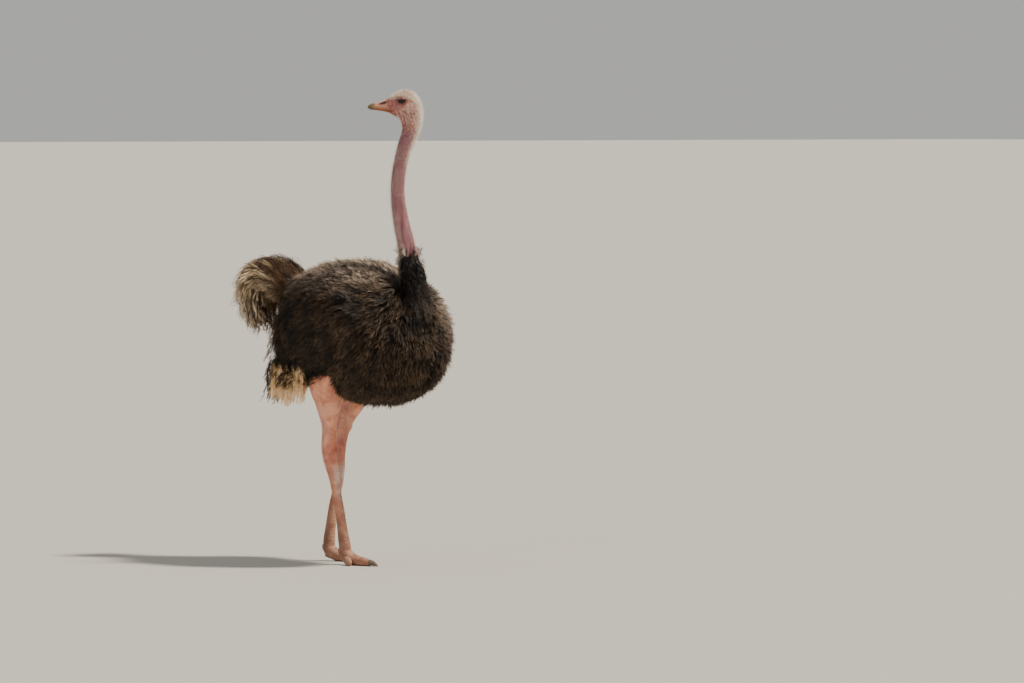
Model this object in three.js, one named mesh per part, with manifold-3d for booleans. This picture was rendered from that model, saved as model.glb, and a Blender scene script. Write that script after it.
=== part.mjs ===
// A male Masai ostrich, life size, standing with its head turned back over its right shoulder.
//
// Units are millimetres, +Z is up and the floor is z = 0. The bird faces -Y, so its left side is +X.
// Places are written as (lateral, forward, height), and `place` turns them into x, y and z.
// The feathered pieces are the outline of the plumage, out to its tips.
// The group is moved sideways at the end, so that the origin lies under the centre of the bird's box.

import * as THREE from "three";
import { mergeVertices } from "three/addons/utils/BufferGeometryUtils.js";
import Module from "manifold-3d";

const wasm = await Module();
wasm.setup();

// ---------------------------------------------------------------- driving dimensions

const GAP = 0.4; // clear space between neighbouring pieces
const HEAD_TURN = THREE.MathUtils.degToRad(40); // the head looks this far behind straight right

const BACK_HEIGHT = 1400; // top of the back feathers
const BELLY_HEIGHT = 716; // lowest breast feathers
const TRUNK_REAR = -490; // forward place of the rump
const TRUNK_FRONT = 475; // forward place of the breast
const TRUNK_HALF_WIDTH = 286;
const WING_LATERAL = 238; // middle of the folded wing
const WING_BOTTOM = 843; // lowest dark wing feathers
const WING_HALF_HEIGHT = 235;
const PLUME_BOTTOM = 722; // tips of the white wing plumes

const NECK_FORWARD = 348; // where the neck leaves the breast
const COLLAR_HEIGHT = 1428; // top of the black feathers on the neck
const NECK_TOP_HEIGHT = 1996; // where the neck meets the head
const HEAD_LENGTH = 243; // back of the head to the tip of the bill
const BILL_BASE = 138; // back of the head to the edge of the horn
const EYE_RADIUS = 21;
const EYE_FORWARD = 89; // from the back of the head
const EYE_SIDE = 26;
const EYE_HEIGHT = 2106;
const MOUTH_TIP_HEIGHT = 2078;
const MOUTH_SLOPE = 0.15;

const TAIL_HALF_WIDTH = 155;
const HOCK_HEIGHT = 515;
const TOE_JOINT_HEIGHT = 62;
const LARGE_TOE = 165; // toe joint to the root of the claw
const SMALL_TOE = 112;
const CLAW_LENGTH = 44;
const LARGE_TOE_TURN = 0.03; // outwards from the foot's own line
const SMALL_TOE_TURN = 0.6;
const FEET_TURN = 0.11; // both feet point a little to the bird's left

// ---------------------------------------------------------------- places and finishes

const place = (lateral, forward, height) => new THREE.Vector3(lateral, -forward, height);
const LATERAL = place(1, 0, 0);
const FORWARD = place(0, 1, 0);
const UP = place(0, 0, 1);

const FINISHES = {
  black_plumage: { color: 0x1d1712, roughness: 0.9 },
  tail_plumage: { color: 0x6f5b45, roughness: 0.95 },
  white_plumage: { color: 0xc9b79a, roughness: 0.9 },
  neck_skin: { color: 0xb98286, roughness: 0.6 },
  head_skin: { color: 0xb9938a, roughness: 0.7 },
  leg_skin: { color: 0xc08c80, roughness: 0.6 },
  bill_horn: { color: 0x8a6a4c, roughness: 0.45 },
  eye: { color: 0x2a1409, roughness: 0.08 },
  claw_horn: { color: 0x4a3f35, roughness: 0.5 },
};

// ---------------------------------------------------------------- shapes

// Interpolates rows of numbers smoothly, from the first row at t = 0 to the last at t = 1.
function smoothRows(rows) {
  const columns = rows[0].map((_, column) =>
    new THREE.SplineCurve(rows.map((row, index) => new THREE.Vector2(index, row[column]))));
  return (t) => columns.map((curve) => curve.getPoint(THREE.MathUtils.clamp(t, 0, 1)).y);
}

// Moves every vertex of a geometry and leaves its faces as they are.
function reshape(geometry, move) {
  const position = geometry.getAttribute("position");
  const point = new THREE.Vector3();
  for (let i = 0; i < position.count; i++) {
    const moved = move(point.fromBufferAttribute(position, i));
    position.setXYZ(i, moved.x, moved.y, moved.z);
  }
  return geometry;
}

// Turns a closed three.js geometry into a solid that can be joined and cut.
function solid(geometry) {
  geometry.deleteAttribute("normal");
  geometry.deleteAttribute("uv");
  const merged = mergeVertices(geometry, 1e-3);
  return new wasm.Manifold(new wasm.Mesh({
    numProp: 3,
    vertProperties: merged.getAttribute("position").array,
    triVerts: new Uint32Array(merged.index.array),
  }));
}

// The point of a superellipse at an angle: a fullness of 2 is an ellipse, and more is squarer.
function superellipse(angle, fullness) {
  const round = (value) => Math.sign(value) * Math.abs(value) ** (2 / fullness);
  return [round(Math.cos(angle)), round(Math.sin(angle))];
}

// A limb is a capped cylinder whose rings lie along a smooth line.
// Each station is [lateral, forward, height, half width, half depth], and `side` gives the width's direction.
function limb(stations, options = {}) {
  const { side = () => LATERAL, sides = 18, rings = 12, from = 0, to = 1, grow = 0, fullness = 2 } = options;
  const places = stations.map(([lateral, forward, height]) => place(lateral, forward, height));
  const line = new THREE.CatmullRomCurve3(places, false, "catmullrom", 0.5);
  const sizes = smoothRows(stations.map(([, , , width, depth]) => [width, depth]));
  return solid(reshape(new THREE.CylinderGeometry(1, 1, 1, sides, rings), (point) => {
    const t = from + (to - from) * (0.5 + point.y);
    const along = line.getTangent(t);
    const wide = side(t).clone().addScaledVector(along, -side(t).dot(along)).normalize();
    const deep = new THREE.Vector3().crossVectors(wide, along);
    const [width, depth] = sizes(t);
    const radius = Math.hypot(point.x, point.z);
    const [u, v] = superellipse(Math.atan2(point.z, point.x), fullness);
    return line.getPoint(t)
      .addScaledVector(wide, radius * u * (width + grow))
      .addScaledVector(deep, radius * v * (depth + grow));
  }));
}

// An egg is a sphere stretched along a direction, round at both ends.
// Each station is [distance forward, centre height, half width, half height above it, half height below it],
// as they would be at the egg's middle; towards the ends the egg shrinks as an ellipse does.
function egg(stations, options = {}) {
  const { origin = place(0, 0, 0), forward = FORWARD, side = LATERAL } = options;
  const { sides = 24, rings = 16, grow = 0, fullness = 2 } = options;
  const first = stations[0][0];
  const span = stations.at(-1)[0] - first;
  const stops = stations.map(([distance]) => (distance - first) / span);
  const sizes = smoothRows(stations.map((row) => row.slice(1)));
  return solid(reshape(new THREE.SphereGeometry(1, sides, rings), (point) => {
    const share = (1 + point.y) / 2;
    const last = Math.max(0, stops.findLastIndex((stop, i) => stop <= share && i < stops.length - 1));
    const t = (last + (share - stops[last]) / (stops[last + 1] - stops[last])) / (stops.length - 1);
    const [height, width, above, below] = sizes(t);
    const radius = Math.hypot(point.x, point.z);
    const [u, v] = superellipse(Math.atan2(point.z, point.x), fullness);
    return origin.clone()
      .addScaledVector(forward, first - grow + (span + 2 * grow) * share)
      .addScaledVector(side, -radius * u * (width + grow))
      .addScaledVector(UP, height + radius * v * ((v > 0 ? above : below) + grow));
  }));
}

const ball = (centre, radius, sides = 16) =>
  solid(new THREE.SphereGeometry(radius, sides, sides / 2).translate(centre.x, centre.y, centre.z));

// A block whose face passes through `point`, filling the side that `normal` points to.
function halfSpace(point, normal, size = 3000) {
  const block = new THREE.BoxGeometry(size, size, size).translate(0, 0, size / 2);
  const turn = new THREE.Quaternion().setFromUnitVectors(UP, normal.clone().normalize());
  return solid(block.applyQuaternion(turn).translate(point.x, point.y, point.z));
}

// The part of a solid on the side of a plane that `normal` points to, clear of the plane by half a gap.
const beyond = (made, point, normal) =>
  made.intersect(halfSpace(point.clone().addScaledVector(normal, GAP / 2), normal));

const aboveFloor = (made) => made.intersect(halfSpace(place(0, 0, 0), UP));

// Stations written for the left side, carried to the side that `mirror` gives: 1 for left, -1 for right.
const mirrored = (stations, mirror) => stations.map(([lateral, ...rest]) => [lateral * mirror, ...rest]);

const bird = new THREE.Group();

// Adds a solid to the bird as one named mesh.
function add(name, made, finish) {
  const { vertProperties, triVerts } = made.getMesh();
  const geometry = new THREE.BufferGeometry();
  geometry.setAttribute("position", new THREE.BufferAttribute(vertProperties, 3));
  geometry.setIndex(new THREE.BufferAttribute(triVerts, 1));
  geometry.computeVertexNormals();
  const mesh = new THREE.Mesh(geometry, new THREE.MeshStandardMaterial({ metalness: 0, ...FINISHES[finish] }));
  mesh.name = name;
  bird.add(mesh);
}

// ---------------------------------------------------------------- trunk, wings and tail

const trunkMiddle = (BACK_HEIGHT + BELLY_HEIGHT) / 2;
const trunkHalf = (BACK_HEIGHT - BELLY_HEIGHT) / 2;
const trunkStations = [
  [TRUNK_REAR, trunkMiddle + 95, TRUNK_HALF_WIDTH, trunkHalf - 22, trunkHalf - 42],
  [-300, trunkMiddle + 42, TRUNK_HALF_WIDTH, trunkHalf - 24, trunkHalf - 42],
  [-100, trunkMiddle + 16, TRUNK_HALF_WIDTH, trunkHalf - 12, trunkHalf - 20],
  [100, trunkMiddle, TRUNK_HALF_WIDTH + 14, trunkHalf - 9, trunkHalf + 6],
  [300, trunkMiddle - 22, TRUNK_HALF_WIDTH + 58, trunkHalf + 4, trunkHalf + 20],
  [TRUNK_FRONT, trunkMiddle - 40, TRUNK_HALF_WIDTH + 88, trunkHalf + 16, trunkHalf + 16],
];
const trunk = (grow = 0) => egg(trunkStations, { sides: 28, rings: 18, grow, fullness: 2.3 });
const trunkCutter = trunk(GAP);
add("trunk", trunk(), "black_plumage");

const WING_MIDDLE = WING_BOTTOM + WING_HALF_HEIGHT;
const wingStations = [
  [-368, WING_MIDDLE - 14, 84, WING_HALF_HEIGHT - 45, WING_HALF_HEIGHT + 1],
  [-200, WING_MIDDLE - 4, 86, WING_HALF_HEIGHT - 30, WING_HALF_HEIGHT - 3],
  [-20, WING_MIDDLE, 88, WING_HALF_HEIGHT - 20, WING_HALF_HEIGHT],
  [150, WING_MIDDLE + 8, 88, WING_HALF_HEIGHT - 25, WING_HALF_HEIGHT - 15],
  [330, WING_MIDDLE + 20, 84, WING_HALF_HEIGHT - 45, WING_HALF_HEIGHT - 45],
];
const wingOptions = { sides: 20, rings: 14, fullness: 2.3 };
// A flat bunch of long white feathers hangs below the rear half of each wing.
const plumeStations = [
  [WING_LATERAL + 24, -208, WING_BOTTOM + 105, 24, 112],
  [WING_LATERAL + 28, -212, WING_BOTTOM + 30, 32, 138],
  [WING_LATERAL + 28, -222, WING_BOTTOM - 50, 30, 140],
  [WING_LATERAL + 26, -222, PLUME_BOTTOM, 16, 118],
];
const plumeOptions = { sides: 20, rings: 6, fullness: 2.6 };
const wingCutters = {};
for (const [name, mirror] of [["left", 1], ["right", -1]]) {
  const origin = place(mirror * WING_LATERAL, 0, 0);
  const wing = egg(wingStations, { origin, ...wingOptions }).subtract(trunkCutter);
  wingCutters[name] = egg(wingStations, { origin, grow: GAP, ...wingOptions });
  const plumes = limb(mirrored(plumeStations, mirror), plumeOptions);
  add(`wing_${name}`, wing, "black_plumage");
  add(`wing_plumes_${name}`, plumes.subtract(trunkCutter).subtract(wingCutters[name]), "white_plumage");
}

// The tail rises from the rump, arches over and droops, a little towards the right.
const tailStations = [
  [0, -390, 1200, TAIL_HALF_WIDTH - 45, 76],
  [-12, -470, 1246, TAIL_HALF_WIDTH - 30, 80],
  [-30, -570, 1310, TAIL_HALF_WIDTH - 14, 90],
  [-46, -648, 1278, TAIL_HALF_WIDTH, 96],
  [-48, -672, 1190, TAIL_HALF_WIDTH - 20, 88],
  [-42, -660, 1110, TAIL_HALF_WIDTH - 42, 66],
  [-36, -648, 1062, TAIL_HALF_WIDTH - 94, 34],
];
const tail = limb(tailStations, { sides: 22, rings: 12 });
add("tail", tail.subtract(trunkCutter), "tail_plumage");

// ---------------------------------------------------------------- neck

// The feathered base stands out in front of the breast and narrows to the collar.
const collar = place(0, NECK_FORWARD, COLLAR_HEIGHT);
const down = UP.clone().negate();
const neckBaseStations = [
  [-44, NECK_FORWARD - 10, 900, 60, 60],
  [-44, NECK_FORWARD + 30, 980, 76, 80],
  [-38, NECK_FORWARD + 50, 1060, 78, 84],
  [-26, NECK_FORWARD + 40, 1145, 68, 76],
  [-8, NECK_FORWARD + 16, 1235, 63, 68],
  [0, NECK_FORWARD, 1320, 59, 62],
  [0, NECK_FORWARD - 16, COLLAR_HEIGHT - 40, 50, 54],
  [0, NECK_FORWARD - 38, COLLAR_HEIGHT + 20, 40, 43],
];
const neckBase = limb(neckBaseStations, { sides: 20, rings: 12 }).subtract(trunkCutter);
add("neck_base", beyond(neckBase, collar, down), "black_plumage");

// The bare neck leans back from the collar, then turns towards the back of the head.
const neckStations = [
  [0, NECK_FORWARD - 18, COLLAR_HEIGHT - 40, 42, 45],
  [0, 300, 1473, 38, 41],
  [0, 268, 1565, 34, 37],
  [0, 247, 1660, 31, 33],
  [0, 246, 1745, 29.5, 31.5],
  [6, 253, 1815, 29, 31],
  [20, 262, 1885, 29.5, 32],
  [36, 274, 1945, 31, 34],
  [44, 282, NECK_TOP_HEIGHT + 14, 33, 42],
];
const neckTop = place(0, 0, NECK_TOP_HEIGHT);

// The head points along `headForward`, and its left cheek faces `headSide`.
const headForward = place(-Math.cos(HEAD_TURN), -Math.sin(HEAD_TURN), 0);
const headSide = place(-Math.sin(HEAD_TURN), Math.cos(HEAD_TURN), 0);

// The neck's width turns from the body's side to the head's side as it rises.
const neckSide = (t) =>
  LATERAL.clone().negate().lerp(headSide, THREE.MathUtils.smoothstep(t, 0.35, 0.95)).normalize();
const NECK_PIECES = ["neck_lower", "neck_middle", "neck_upper"];
const JOINT_SHARE = 0.0004; // of a limb's length, left clear on each side of a joint
NECK_PIECES.forEach((name, i) => {
  const from = i / NECK_PIECES.length + JOINT_SHARE;
  const to = (i + 1) / NECK_PIECES.length - JOINT_SHARE;
  const piece = limb(neckStations, { side: neckSide, sides: 16, rings: 5, from, to });
  add(name, beyond(beyond(piece, collar, UP), neckTop, down), "neck_skin");
});

// ---------------------------------------------------------------- head

const headOrigin = place(0, 0, 0).addScaledVector(headForward, -265).addScaledVector(headSide, 190);
const inHead = (forward, side, height) =>
  headOrigin.clone().addScaledVector(headForward, forward).addScaledVector(headSide, side).setZ(height);
const alongHead = { origin: headOrigin, forward: headForward, side: headSide };

// Brain case and cheeks.
const craniumStations = [
  [1, 2075, 30, 60, 58],
  [50, 2080, 38, 70, 70],
  [90, 2084, 41, 68, 60],
  [130, 2086, 40, 62, 50],
  [172, 2086, 36, 50, 40],
];
// Face and bill, from inside the brain case to the tip.
const billStations = [
  [10, 2062, 26, 34, 30],
  [75, 2072, 35, 50, 34],
  [125, 2084, 29, 46, 34],
  [165, 2083, 25, 28, 22],
  [205, 2081, 25, 19, 15],
  [HEAD_LENGTH, 2080, 26, 16, 14],
];
// The top of the neck, carried on into the head.
const throatRows = [
  [49, NECK_TOP_HEIGHT - 30, 32, 38],
  [51, NECK_TOP_HEIGHT + 18, 33, 43],
  [60, NECK_TOP_HEIGHT + 70, 30, 44],
];
const throatStations = throatRows.map(([forward, height, width, depth]) => {
  const { x, y, z } = inHead(forward, 0, height);
  return [x, -y, z, width, depth];
});

const bill = egg(billStations, { ...alongHead, sides: 18, rings: 18, fullness: 2.2 });
const billEdge = inHead(BILL_BASE, 0, MOUTH_TIP_HEIGHT);
const throat = limb(throatStations, { side: () => headSide, sides: 16, rings: 3 });
let head = egg(craniumStations, { ...alongHead, sides: 20, rings: 14 }).add(bill).add(throat);
head = beyond(beyond(head, billEdge, headForward.clone().negate()), neckTop, UP);

for (const [name, mirror] of [["eye_left", 1], ["eye_right", -1]]) {
  const centre = inHead(EYE_FORWARD, mirror * EYE_SIDE, EYE_HEIGHT);
  add(name, ball(centre, EYE_RADIUS), "eye");
  head = head.subtract(ball(centre, EYE_RADIUS + GAP));
}
add("head", head, "head_skin");

// The mouth is a thin cut that falls a little from the tip towards the face.
const mouthUp = UP.clone().multiplyScalar(Math.cos(MOUTH_SLOPE)).addScaledVector(headForward, -Math.sin(MOUTH_SLOPE));
const mouth = inHead(HEAD_LENGTH, 0, MOUTH_TIP_HEIGHT);
const horn = beyond(bill, billEdge, headForward);
add("bill_upper", beyond(horn, mouth, mouthUp), "bill_horn");
add("bill_lower", beyond(horn, mouth, mouthUp.clone().negate()), "bill_horn");

// ---------------------------------------------------------------- legs and feet

// Height, half width and half depth of a leg, from the feathers down to the toe joint.
const LEG_SIZES = [
  [960, 90, 102],
  [850, 77, 86],
  [740, 49, 55],
  [630, 31, 35],
  [HOCK_HEIGHT, 36, 43],
  [420, 31, 37],
  [345, 21, 26],
  [250, 21, 25],
  [150, 23, 27],
  [TOE_JOINT_HEIGHT + 8, 27, 30],
];
const HOCK_SHARE = 4 / (LEG_SIZES.length - 1);

// Lateral and forward places of each leg at those heights: the right leg is ahead of the left.
const LEGS = {
  right: {
    mirror: -1,
    line: [
      [172, 10], [174, -61], [142, -80], [123, -97], [113, -100],
      [105, -79], [99, -75], [90, -61], [81, -49], [73, -40],
    ],
  },
  left: {
    mirror: 1,
    line: [
      [168, -165], [161, -192], [147, -229], [126, -279], [99, -302],
      [90, -289], [83, -281], [75, -302], [64, -311], [60, -314],
    ],
  },
};

// Distance from the toe joint, height, half width and half depth along a toe.
const largeToeRows = [
  [-10, TOE_JOINT_HEIGHT - 2, 27, 28],
  [16, 42, 31, 30],
  [50, 27, 30, 27],
  [90, 21, 25, 23],
  [LARGE_TOE - 30, 17, 21, 19],
  [LARGE_TOE, 13, 13, 14],
];
const smallToeRows = [
  [0, 34, 20, 22],
  [45, 22, 19, 20],
  [85, 15, 15, 16],
  [SMALL_TOE, 11, 8, 9],
];
const clawRows = [
  [LARGE_TOE - 16, 15, 10, 10],
  [LARGE_TOE + 14, 10, 9, 9],
  [LARGE_TOE + CLAW_LENGTH, 4, 4, 5],
];
const FOOT_SHARE = 0.4; // of the large toe's line, which belongs to the foot

for (const [name, { mirror, line }] of Object.entries(LEGS)) {
  const stations = LEG_SIZES.map((sizes, i) => [...line[i], ...sizes]);
  const leg = (options) => limb(mirrored(stations, mirror), options);
  const upper = leg({ sides: 16, rings: 8, to: HOCK_SHARE - JOINT_SHARE });
  const lower = leg({ sides: 14, rings: 12, from: HOCK_SHARE + JOINT_SHARE });
  const plumeCutter = limb(mirrored(plumeStations, mirror), { ...plumeOptions, grow: GAP });
  const thigh = upper.subtract(trunkCutter).subtract(wingCutters[name]).subtract(plumeCutter);
  add(`upper_leg_${name}`, thigh, "leg_skin");

  const [jointLateral, jointForward] = line.at(-1);
  const toe = (outwards, rows, options) => {
    const turn = outwards + mirror * FEET_TURN;
    const toePlaces = rows.map(([distance, ...sizes]) => [
      mirror * (jointLateral + distance * Math.sin(turn)),
      jointForward + distance * Math.cos(turn),
      ...sizes,
    ]);
    const side = place(mirror * Math.cos(turn), -Math.sin(turn), 0).multiplyScalar(mirror);
    return aboveFloor(limb(toePlaces, { side: () => side, sides: 14, rings: 10, ...options }));
  };
  const footCutter = toe(LARGE_TOE_TURN, largeToeRows, { grow: GAP });
  const foot = toe(LARGE_TOE_TURN, largeToeRows, { to: FOOT_SHARE - 2 * JOINT_SHARE, rings: 4 });
  const large = toe(LARGE_TOE_TURN, largeToeRows, { from: FOOT_SHARE + 2 * JOINT_SHARE, rings: 6 });
  const small = toe(SMALL_TOE_TURN, smallToeRows, { rings: 6 }).subtract(footCutter);
  const claw = toe(LARGE_TOE_TURN, clawRows, { sides: 12, rings: 4 }).subtract(footCutter);
  add(`lower_leg_${name}`, lower.subtract(footCutter), "leg_skin");
  add(`foot_${name}`, foot, "leg_skin");
  add(`toe_large_${name}`, large, "leg_skin");
  add(`toe_small_${name}`, small, "leg_skin");
  add(`claw_${name}`, claw, "claw_horn");
}

// ---------------------------------------------------------------- the finished group

const box = new THREE.Box3().setFromObject(bird);
const centre = box.getCenter(new THREE.Vector3());
bird.position.set(-centre.x, -centre.y, 0);

export default bird;
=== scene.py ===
# %% [markdown]
# # A life-size ostrich
#
# This lesson dresses a solid model of a male Masai ostrich. The solids give the outline of the bird,
# out to the tips of its feathers. Here one bare skin goes inside them, and feathers, down, eyes,
# bill and claws go on the skin. Everything is in metres. The bird faces -Y and its left side is +X.

import math

import bmesh
import bpy
import numpy as np
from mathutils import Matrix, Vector


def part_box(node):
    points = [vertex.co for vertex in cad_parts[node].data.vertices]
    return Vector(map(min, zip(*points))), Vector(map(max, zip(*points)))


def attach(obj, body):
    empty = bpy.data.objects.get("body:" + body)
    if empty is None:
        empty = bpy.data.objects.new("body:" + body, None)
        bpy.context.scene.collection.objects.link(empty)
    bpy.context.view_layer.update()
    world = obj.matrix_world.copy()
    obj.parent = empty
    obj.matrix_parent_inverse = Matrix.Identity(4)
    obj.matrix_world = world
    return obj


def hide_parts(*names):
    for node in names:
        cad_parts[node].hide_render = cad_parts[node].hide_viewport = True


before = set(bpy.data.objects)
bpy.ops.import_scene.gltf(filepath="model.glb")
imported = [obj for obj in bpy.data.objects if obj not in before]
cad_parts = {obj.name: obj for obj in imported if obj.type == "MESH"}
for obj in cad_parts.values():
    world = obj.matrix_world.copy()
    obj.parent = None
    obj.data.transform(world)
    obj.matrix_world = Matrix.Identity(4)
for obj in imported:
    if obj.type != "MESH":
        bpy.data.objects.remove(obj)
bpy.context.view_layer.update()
print("solid parts:", len(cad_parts))

# %% [markdown]
# ## Places on the bird
#
# A bird is easiest to describe in its own directions: how far to its left, how far forward, how high.
# The solids were moved sideways so that the origin lies under the middle of their box. The left eye
# is a ball whose place on the bird is known, so its box tells how far they were moved.
# The head is turned, so it has directions of its own: `in_head` counts from the back of the head.

# %% Places
MM = 0.001
HEAD_TURN = math.radians(40)
HEAD_FORWARD = np.array([-math.cos(HEAD_TURN), math.sin(HEAD_TURN), 0.0])
HEAD_LEFT = np.array([-math.sin(HEAD_TURN), -math.cos(HEAD_TURN), 0.0])
UP = np.array([0.0, 0.0, 1.0])
LEFT = np.array([1.0, 0.0, 0.0])
HEAD_BACK, HEAD_ASIDE = 265.0, 190.0
EYE_FORWARD, EYE_SIDE, EYE_HEIGHT, EYE_RADIUS = 89, 26, 2106, 21
MIRROR = {"left": 1, "right": -1}


def on_bird(lateral, forward, height):
    """The place, in metres, of a point given in millimetres to the left, forward and up."""
    return np.stack(np.broadcast_arrays(lateral, -np.asarray(forward), height), -1) * MM + SHIFT


def from_bird(places):
    """How far left, forward and up places lie on the bird, in millimetres: `on_bird` the other way."""
    return ((places - SHIFT) / MM * [1, -1, 1]).T


def in_head(forward, left, height):
    """The same for a point in the head: millimetres from the back of the head, to its left, and up."""
    forward, left, height = np.broadcast_arrays(forward, left, height)
    along = (forward[..., None] - HEAD_BACK) * MM * HEAD_FORWARD
    across = (left[..., None] + HEAD_ASIDE) * MM * HEAD_LEFT
    return along + across + height[..., None] * MM * UP + SHIFT


SHIFT = np.zeros(3)
eye_low, eye_high = (np.array(corner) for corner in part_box("eye_left"))
SHIFT = (eye_low + eye_high) / 2 - in_head(EYE_FORWARD, EYE_SIDE, EYE_HEIGHT)
print("the solids are moved by", SHIFT.round(4))

# %% [markdown]
# ## Shapes from a few rows of numbers
#
# Bodies have no straight edges, so a shape is given by a few cross-sections and a smooth curve joins
# them. `smooth_rows` does that for rows of any numbers at once. `ease` and `hump` are the two soft
# steps with which everything else here is modelled and painted.

# %% Curves
def smooth_rows(rows, t):
    """The numbers on a smooth curve through the rows, from the first row at t = 0 to the last at 1."""
    rows = np.asarray(rows, float)
    last = len(rows) - 1
    where = np.clip(np.asarray(t, float), 0, 1) * last
    i = np.minimum(where.astype(int), last - 1)
    f = (where - i)[..., None]
    start, end = rows[i], rows[i + 1]
    before = np.where(i[..., None] > 0, rows[np.maximum(i - 1, 0)], 2 * start - end)
    after = np.where(i[..., None] < last - 1, rows[np.minimum(i + 2, last)], 2 * end - start)
    cubic = 2 * before - 5 * start + 4 * end - after + f * (3 * (start - end) + after - before)
    return start + 0.5 * f * (end - before + f * cubic)


def ease(x, low, high):
    """0 below low, 1 above high, and a smooth step between; low may be the larger one."""
    t = np.clip((np.asarray(x, float) - low) / (high - low), 0, 1)
    return t * t * (3 - 2 * t)


def hump(x, middle, half_width):
    """1 at the middle, falling smoothly to 0 at half_width on either side."""
    return ease(np.abs(np.asarray(x, float) - middle), half_width, 0)


def unit(vectors):
    """Vectors of length 1."""
    return vectors / np.maximum(np.linalg.norm(vectors, axis=-1, keepdims=True), 1e-9)


def power(x, exponent):
    """A power that keeps the sign: it turns a cosine and a sine into a squarer oval."""
    return np.sign(x) * np.abs(x) ** exponent


# %% [markdown]
# ## Rolling up a grid
#
# A tube starts as Blender's own grid: it is rolled up by moving its points, the seam is merged and
# open ends are closed. That leaves an even mesh, whose columns run along the limb and whose rows run
# round it. Numbers and colours that belong to the points are kept on the mesh as attributes.

# %% Tubes and objects
def tube(columns, rows, shape, seam=1e-6):
    """A closed tube as a bmesh. shape(u, v) gives the places of column u and row v, both 0 to 1."""
    bm = bmesh.new()
    bmesh.ops.create_grid(bm, x_segments=columns, y_segments=rows, size=0.5)
    flat = np.array([vert.co[:2] for vert in bm.verts])
    flat = (flat - flat.min(0)) / (flat.max(0) - flat.min(0))
    for vert, place in zip(bm.verts, shape(flat[:, 0], flat[:, 1])):
        vert.co = place
    bmesh.ops.remove_doubles(bm, verts=bm.verts, dist=seam)
    ends = bmesh.ops.holes_fill(bm, edges=bm.edges, sides=0)["faces"]
    bmesh.ops.poke(bm, faces=ends)
    bmesh.ops.recalc_face_normals(bm, faces=bm.faces)
    return bm


def put_in_scene(name, data):
    """An object that holds a mesh, a light or a camera."""
    made = bpy.data.objects.new(name, data)
    bpy.context.scene.collection.objects.link(made)
    return made


def make_object(name, bm):
    """A smooth-shaded object from a bmesh, which is then freed."""
    mesh = bpy.data.meshes.new(name)
    bm.to_mesh(mesh)
    bm.free()
    mesh.shade_smooth()
    return put_in_scene(name, mesh)


def places_of(made):
    """The places of an object's points, as an array."""
    places = np.empty(len(made.data.vertices) * 3, np.float32)
    made.data.vertices.foreach_get("co", places)
    return places.reshape(-1, 3).astype(float)


def normals_of(made):
    """The outward directions at an object's points."""
    normals = np.empty(len(made.data.vertices) * 3, np.float32)
    made.data.vertex_normals.foreach_get("vector", normals)
    return normals.reshape(-1, 3).astype(float)


def move_points(made, places):
    """Puts an object's points at new places."""
    made.data.vertices.foreach_set("co", places.astype(np.float32).ravel())
    made.data.update()


def number(made, name, values):
    """Keeps one number for each point of an object."""
    attribute = made.data.attributes.new(name, "FLOAT", "POINT")
    attribute.data.foreach_set("value", np.asarray(values, np.float32))


def colour(made, name, colours):
    """Keeps one colour for each point of an object."""
    attribute = made.data.attributes.new(name, "FLOAT_COLOR", "POINT")
    full = np.hstack([colours, np.ones((len(colours), 1))])
    attribute.data.foreach_set("color", full.astype(np.float32).ravel())


# %% [markdown]
# ## Body, neck, head and legs under the coat
#
# The cross-sections are those of the solids, drawn in by the depth of the feathers where there are
# feathers. The trunk is an egg. The neck runs on into the head as one tube: where the head bends
# forward, the cross-sections fan round the corner of the jaw, from the nape over the crown to the
# face. Each of these rows has a point near the throat, a point far from it and a half width.

# %% Trunk
TRUNK = [
    # distance forward, middle height, half width, half height above, half height below
    [-490, 1153, 286, 320, 300],
    [-300, 1100, 286, 318, 300],
    [-100, 1074, 286, 330, 322],
    [100, 1058, 300, 333, 348],
    [300, 1036, 344, 346, 362],
    [475, 1018, 374, 358, 358],
]
WING = [
    [-368, 1064, 84, 190, 236],
    [-200, 1074, 86, 205, 232],
    [-20, 1078, 88, 215, 235],
    [150, 1086, 88, 210, 220],
    [330, 1098, 84, 190, 190],
]
WING_LATERAL = 238
FULLNESS = 2.3


def egg(stations, around, along, depth=0.0, middle=0.0):
    """Places on an egg, `depth` millimetres under its surface; around and along run from 0 to 1."""
    stations = np.asarray(stations, float)
    ahead = stations[:, 0]
    share = (1 - np.cos(np.pi * along)) / 2
    forward = ahead[0] + share * (ahead[-1] - ahead[0])
    row = np.interp(forward, ahead, np.linspace(0, 1, len(ahead)))
    height, width, above, below = smooth_rows(stations[:, 1:], row).T
    ring = np.sin(np.pi * along)
    across = power(np.cos(2 * np.pi * around), 2 / FULLNESS)
    up = power(np.sin(2 * np.pi * around), 2 / FULLNESS)
    forward = forward + depth * np.cos(np.pi * along)
    lateral = middle + ring * across * (width - depth)
    return on_bird(lateral, forward, height + ring * up * (np.where(up > 0, above, below) - depth))


def in_egg(stations, places, middle=0.0, depth=0.0):
    """How far out a place lies in an egg: less than 1 is inside."""
    stations = np.asarray(stations, float)
    lateral, forward, height = from_bird(places)
    ahead = stations[:, 0]
    share = (forward - ahead[0]) / (ahead[-1] - ahead[0])
    ring = np.sqrt(np.clip(1 - (2 * share - 1) ** 2, 1e-6, 1))
    row = np.interp(forward, ahead, np.linspace(0, 1, len(ahead)))
    centre, width, above, below = smooth_rows(stations[:, 1:], row).T
    up = height - centre
    tall = np.where(up > 0, above, below)
    across = np.abs(lateral - middle) / (ring * (width - depth))
    out = across**FULLNESS + np.abs(up / (ring * (tall - depth))) ** FULLNESS
    return np.where((share > 0) & (share < 1), out, 9.0)


BODY_DEPTH, WING_DEPTH = 38, 36


def trunk_surface(u, v):
    return egg(TRUNK, u, v, BODY_DEPTH)


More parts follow.
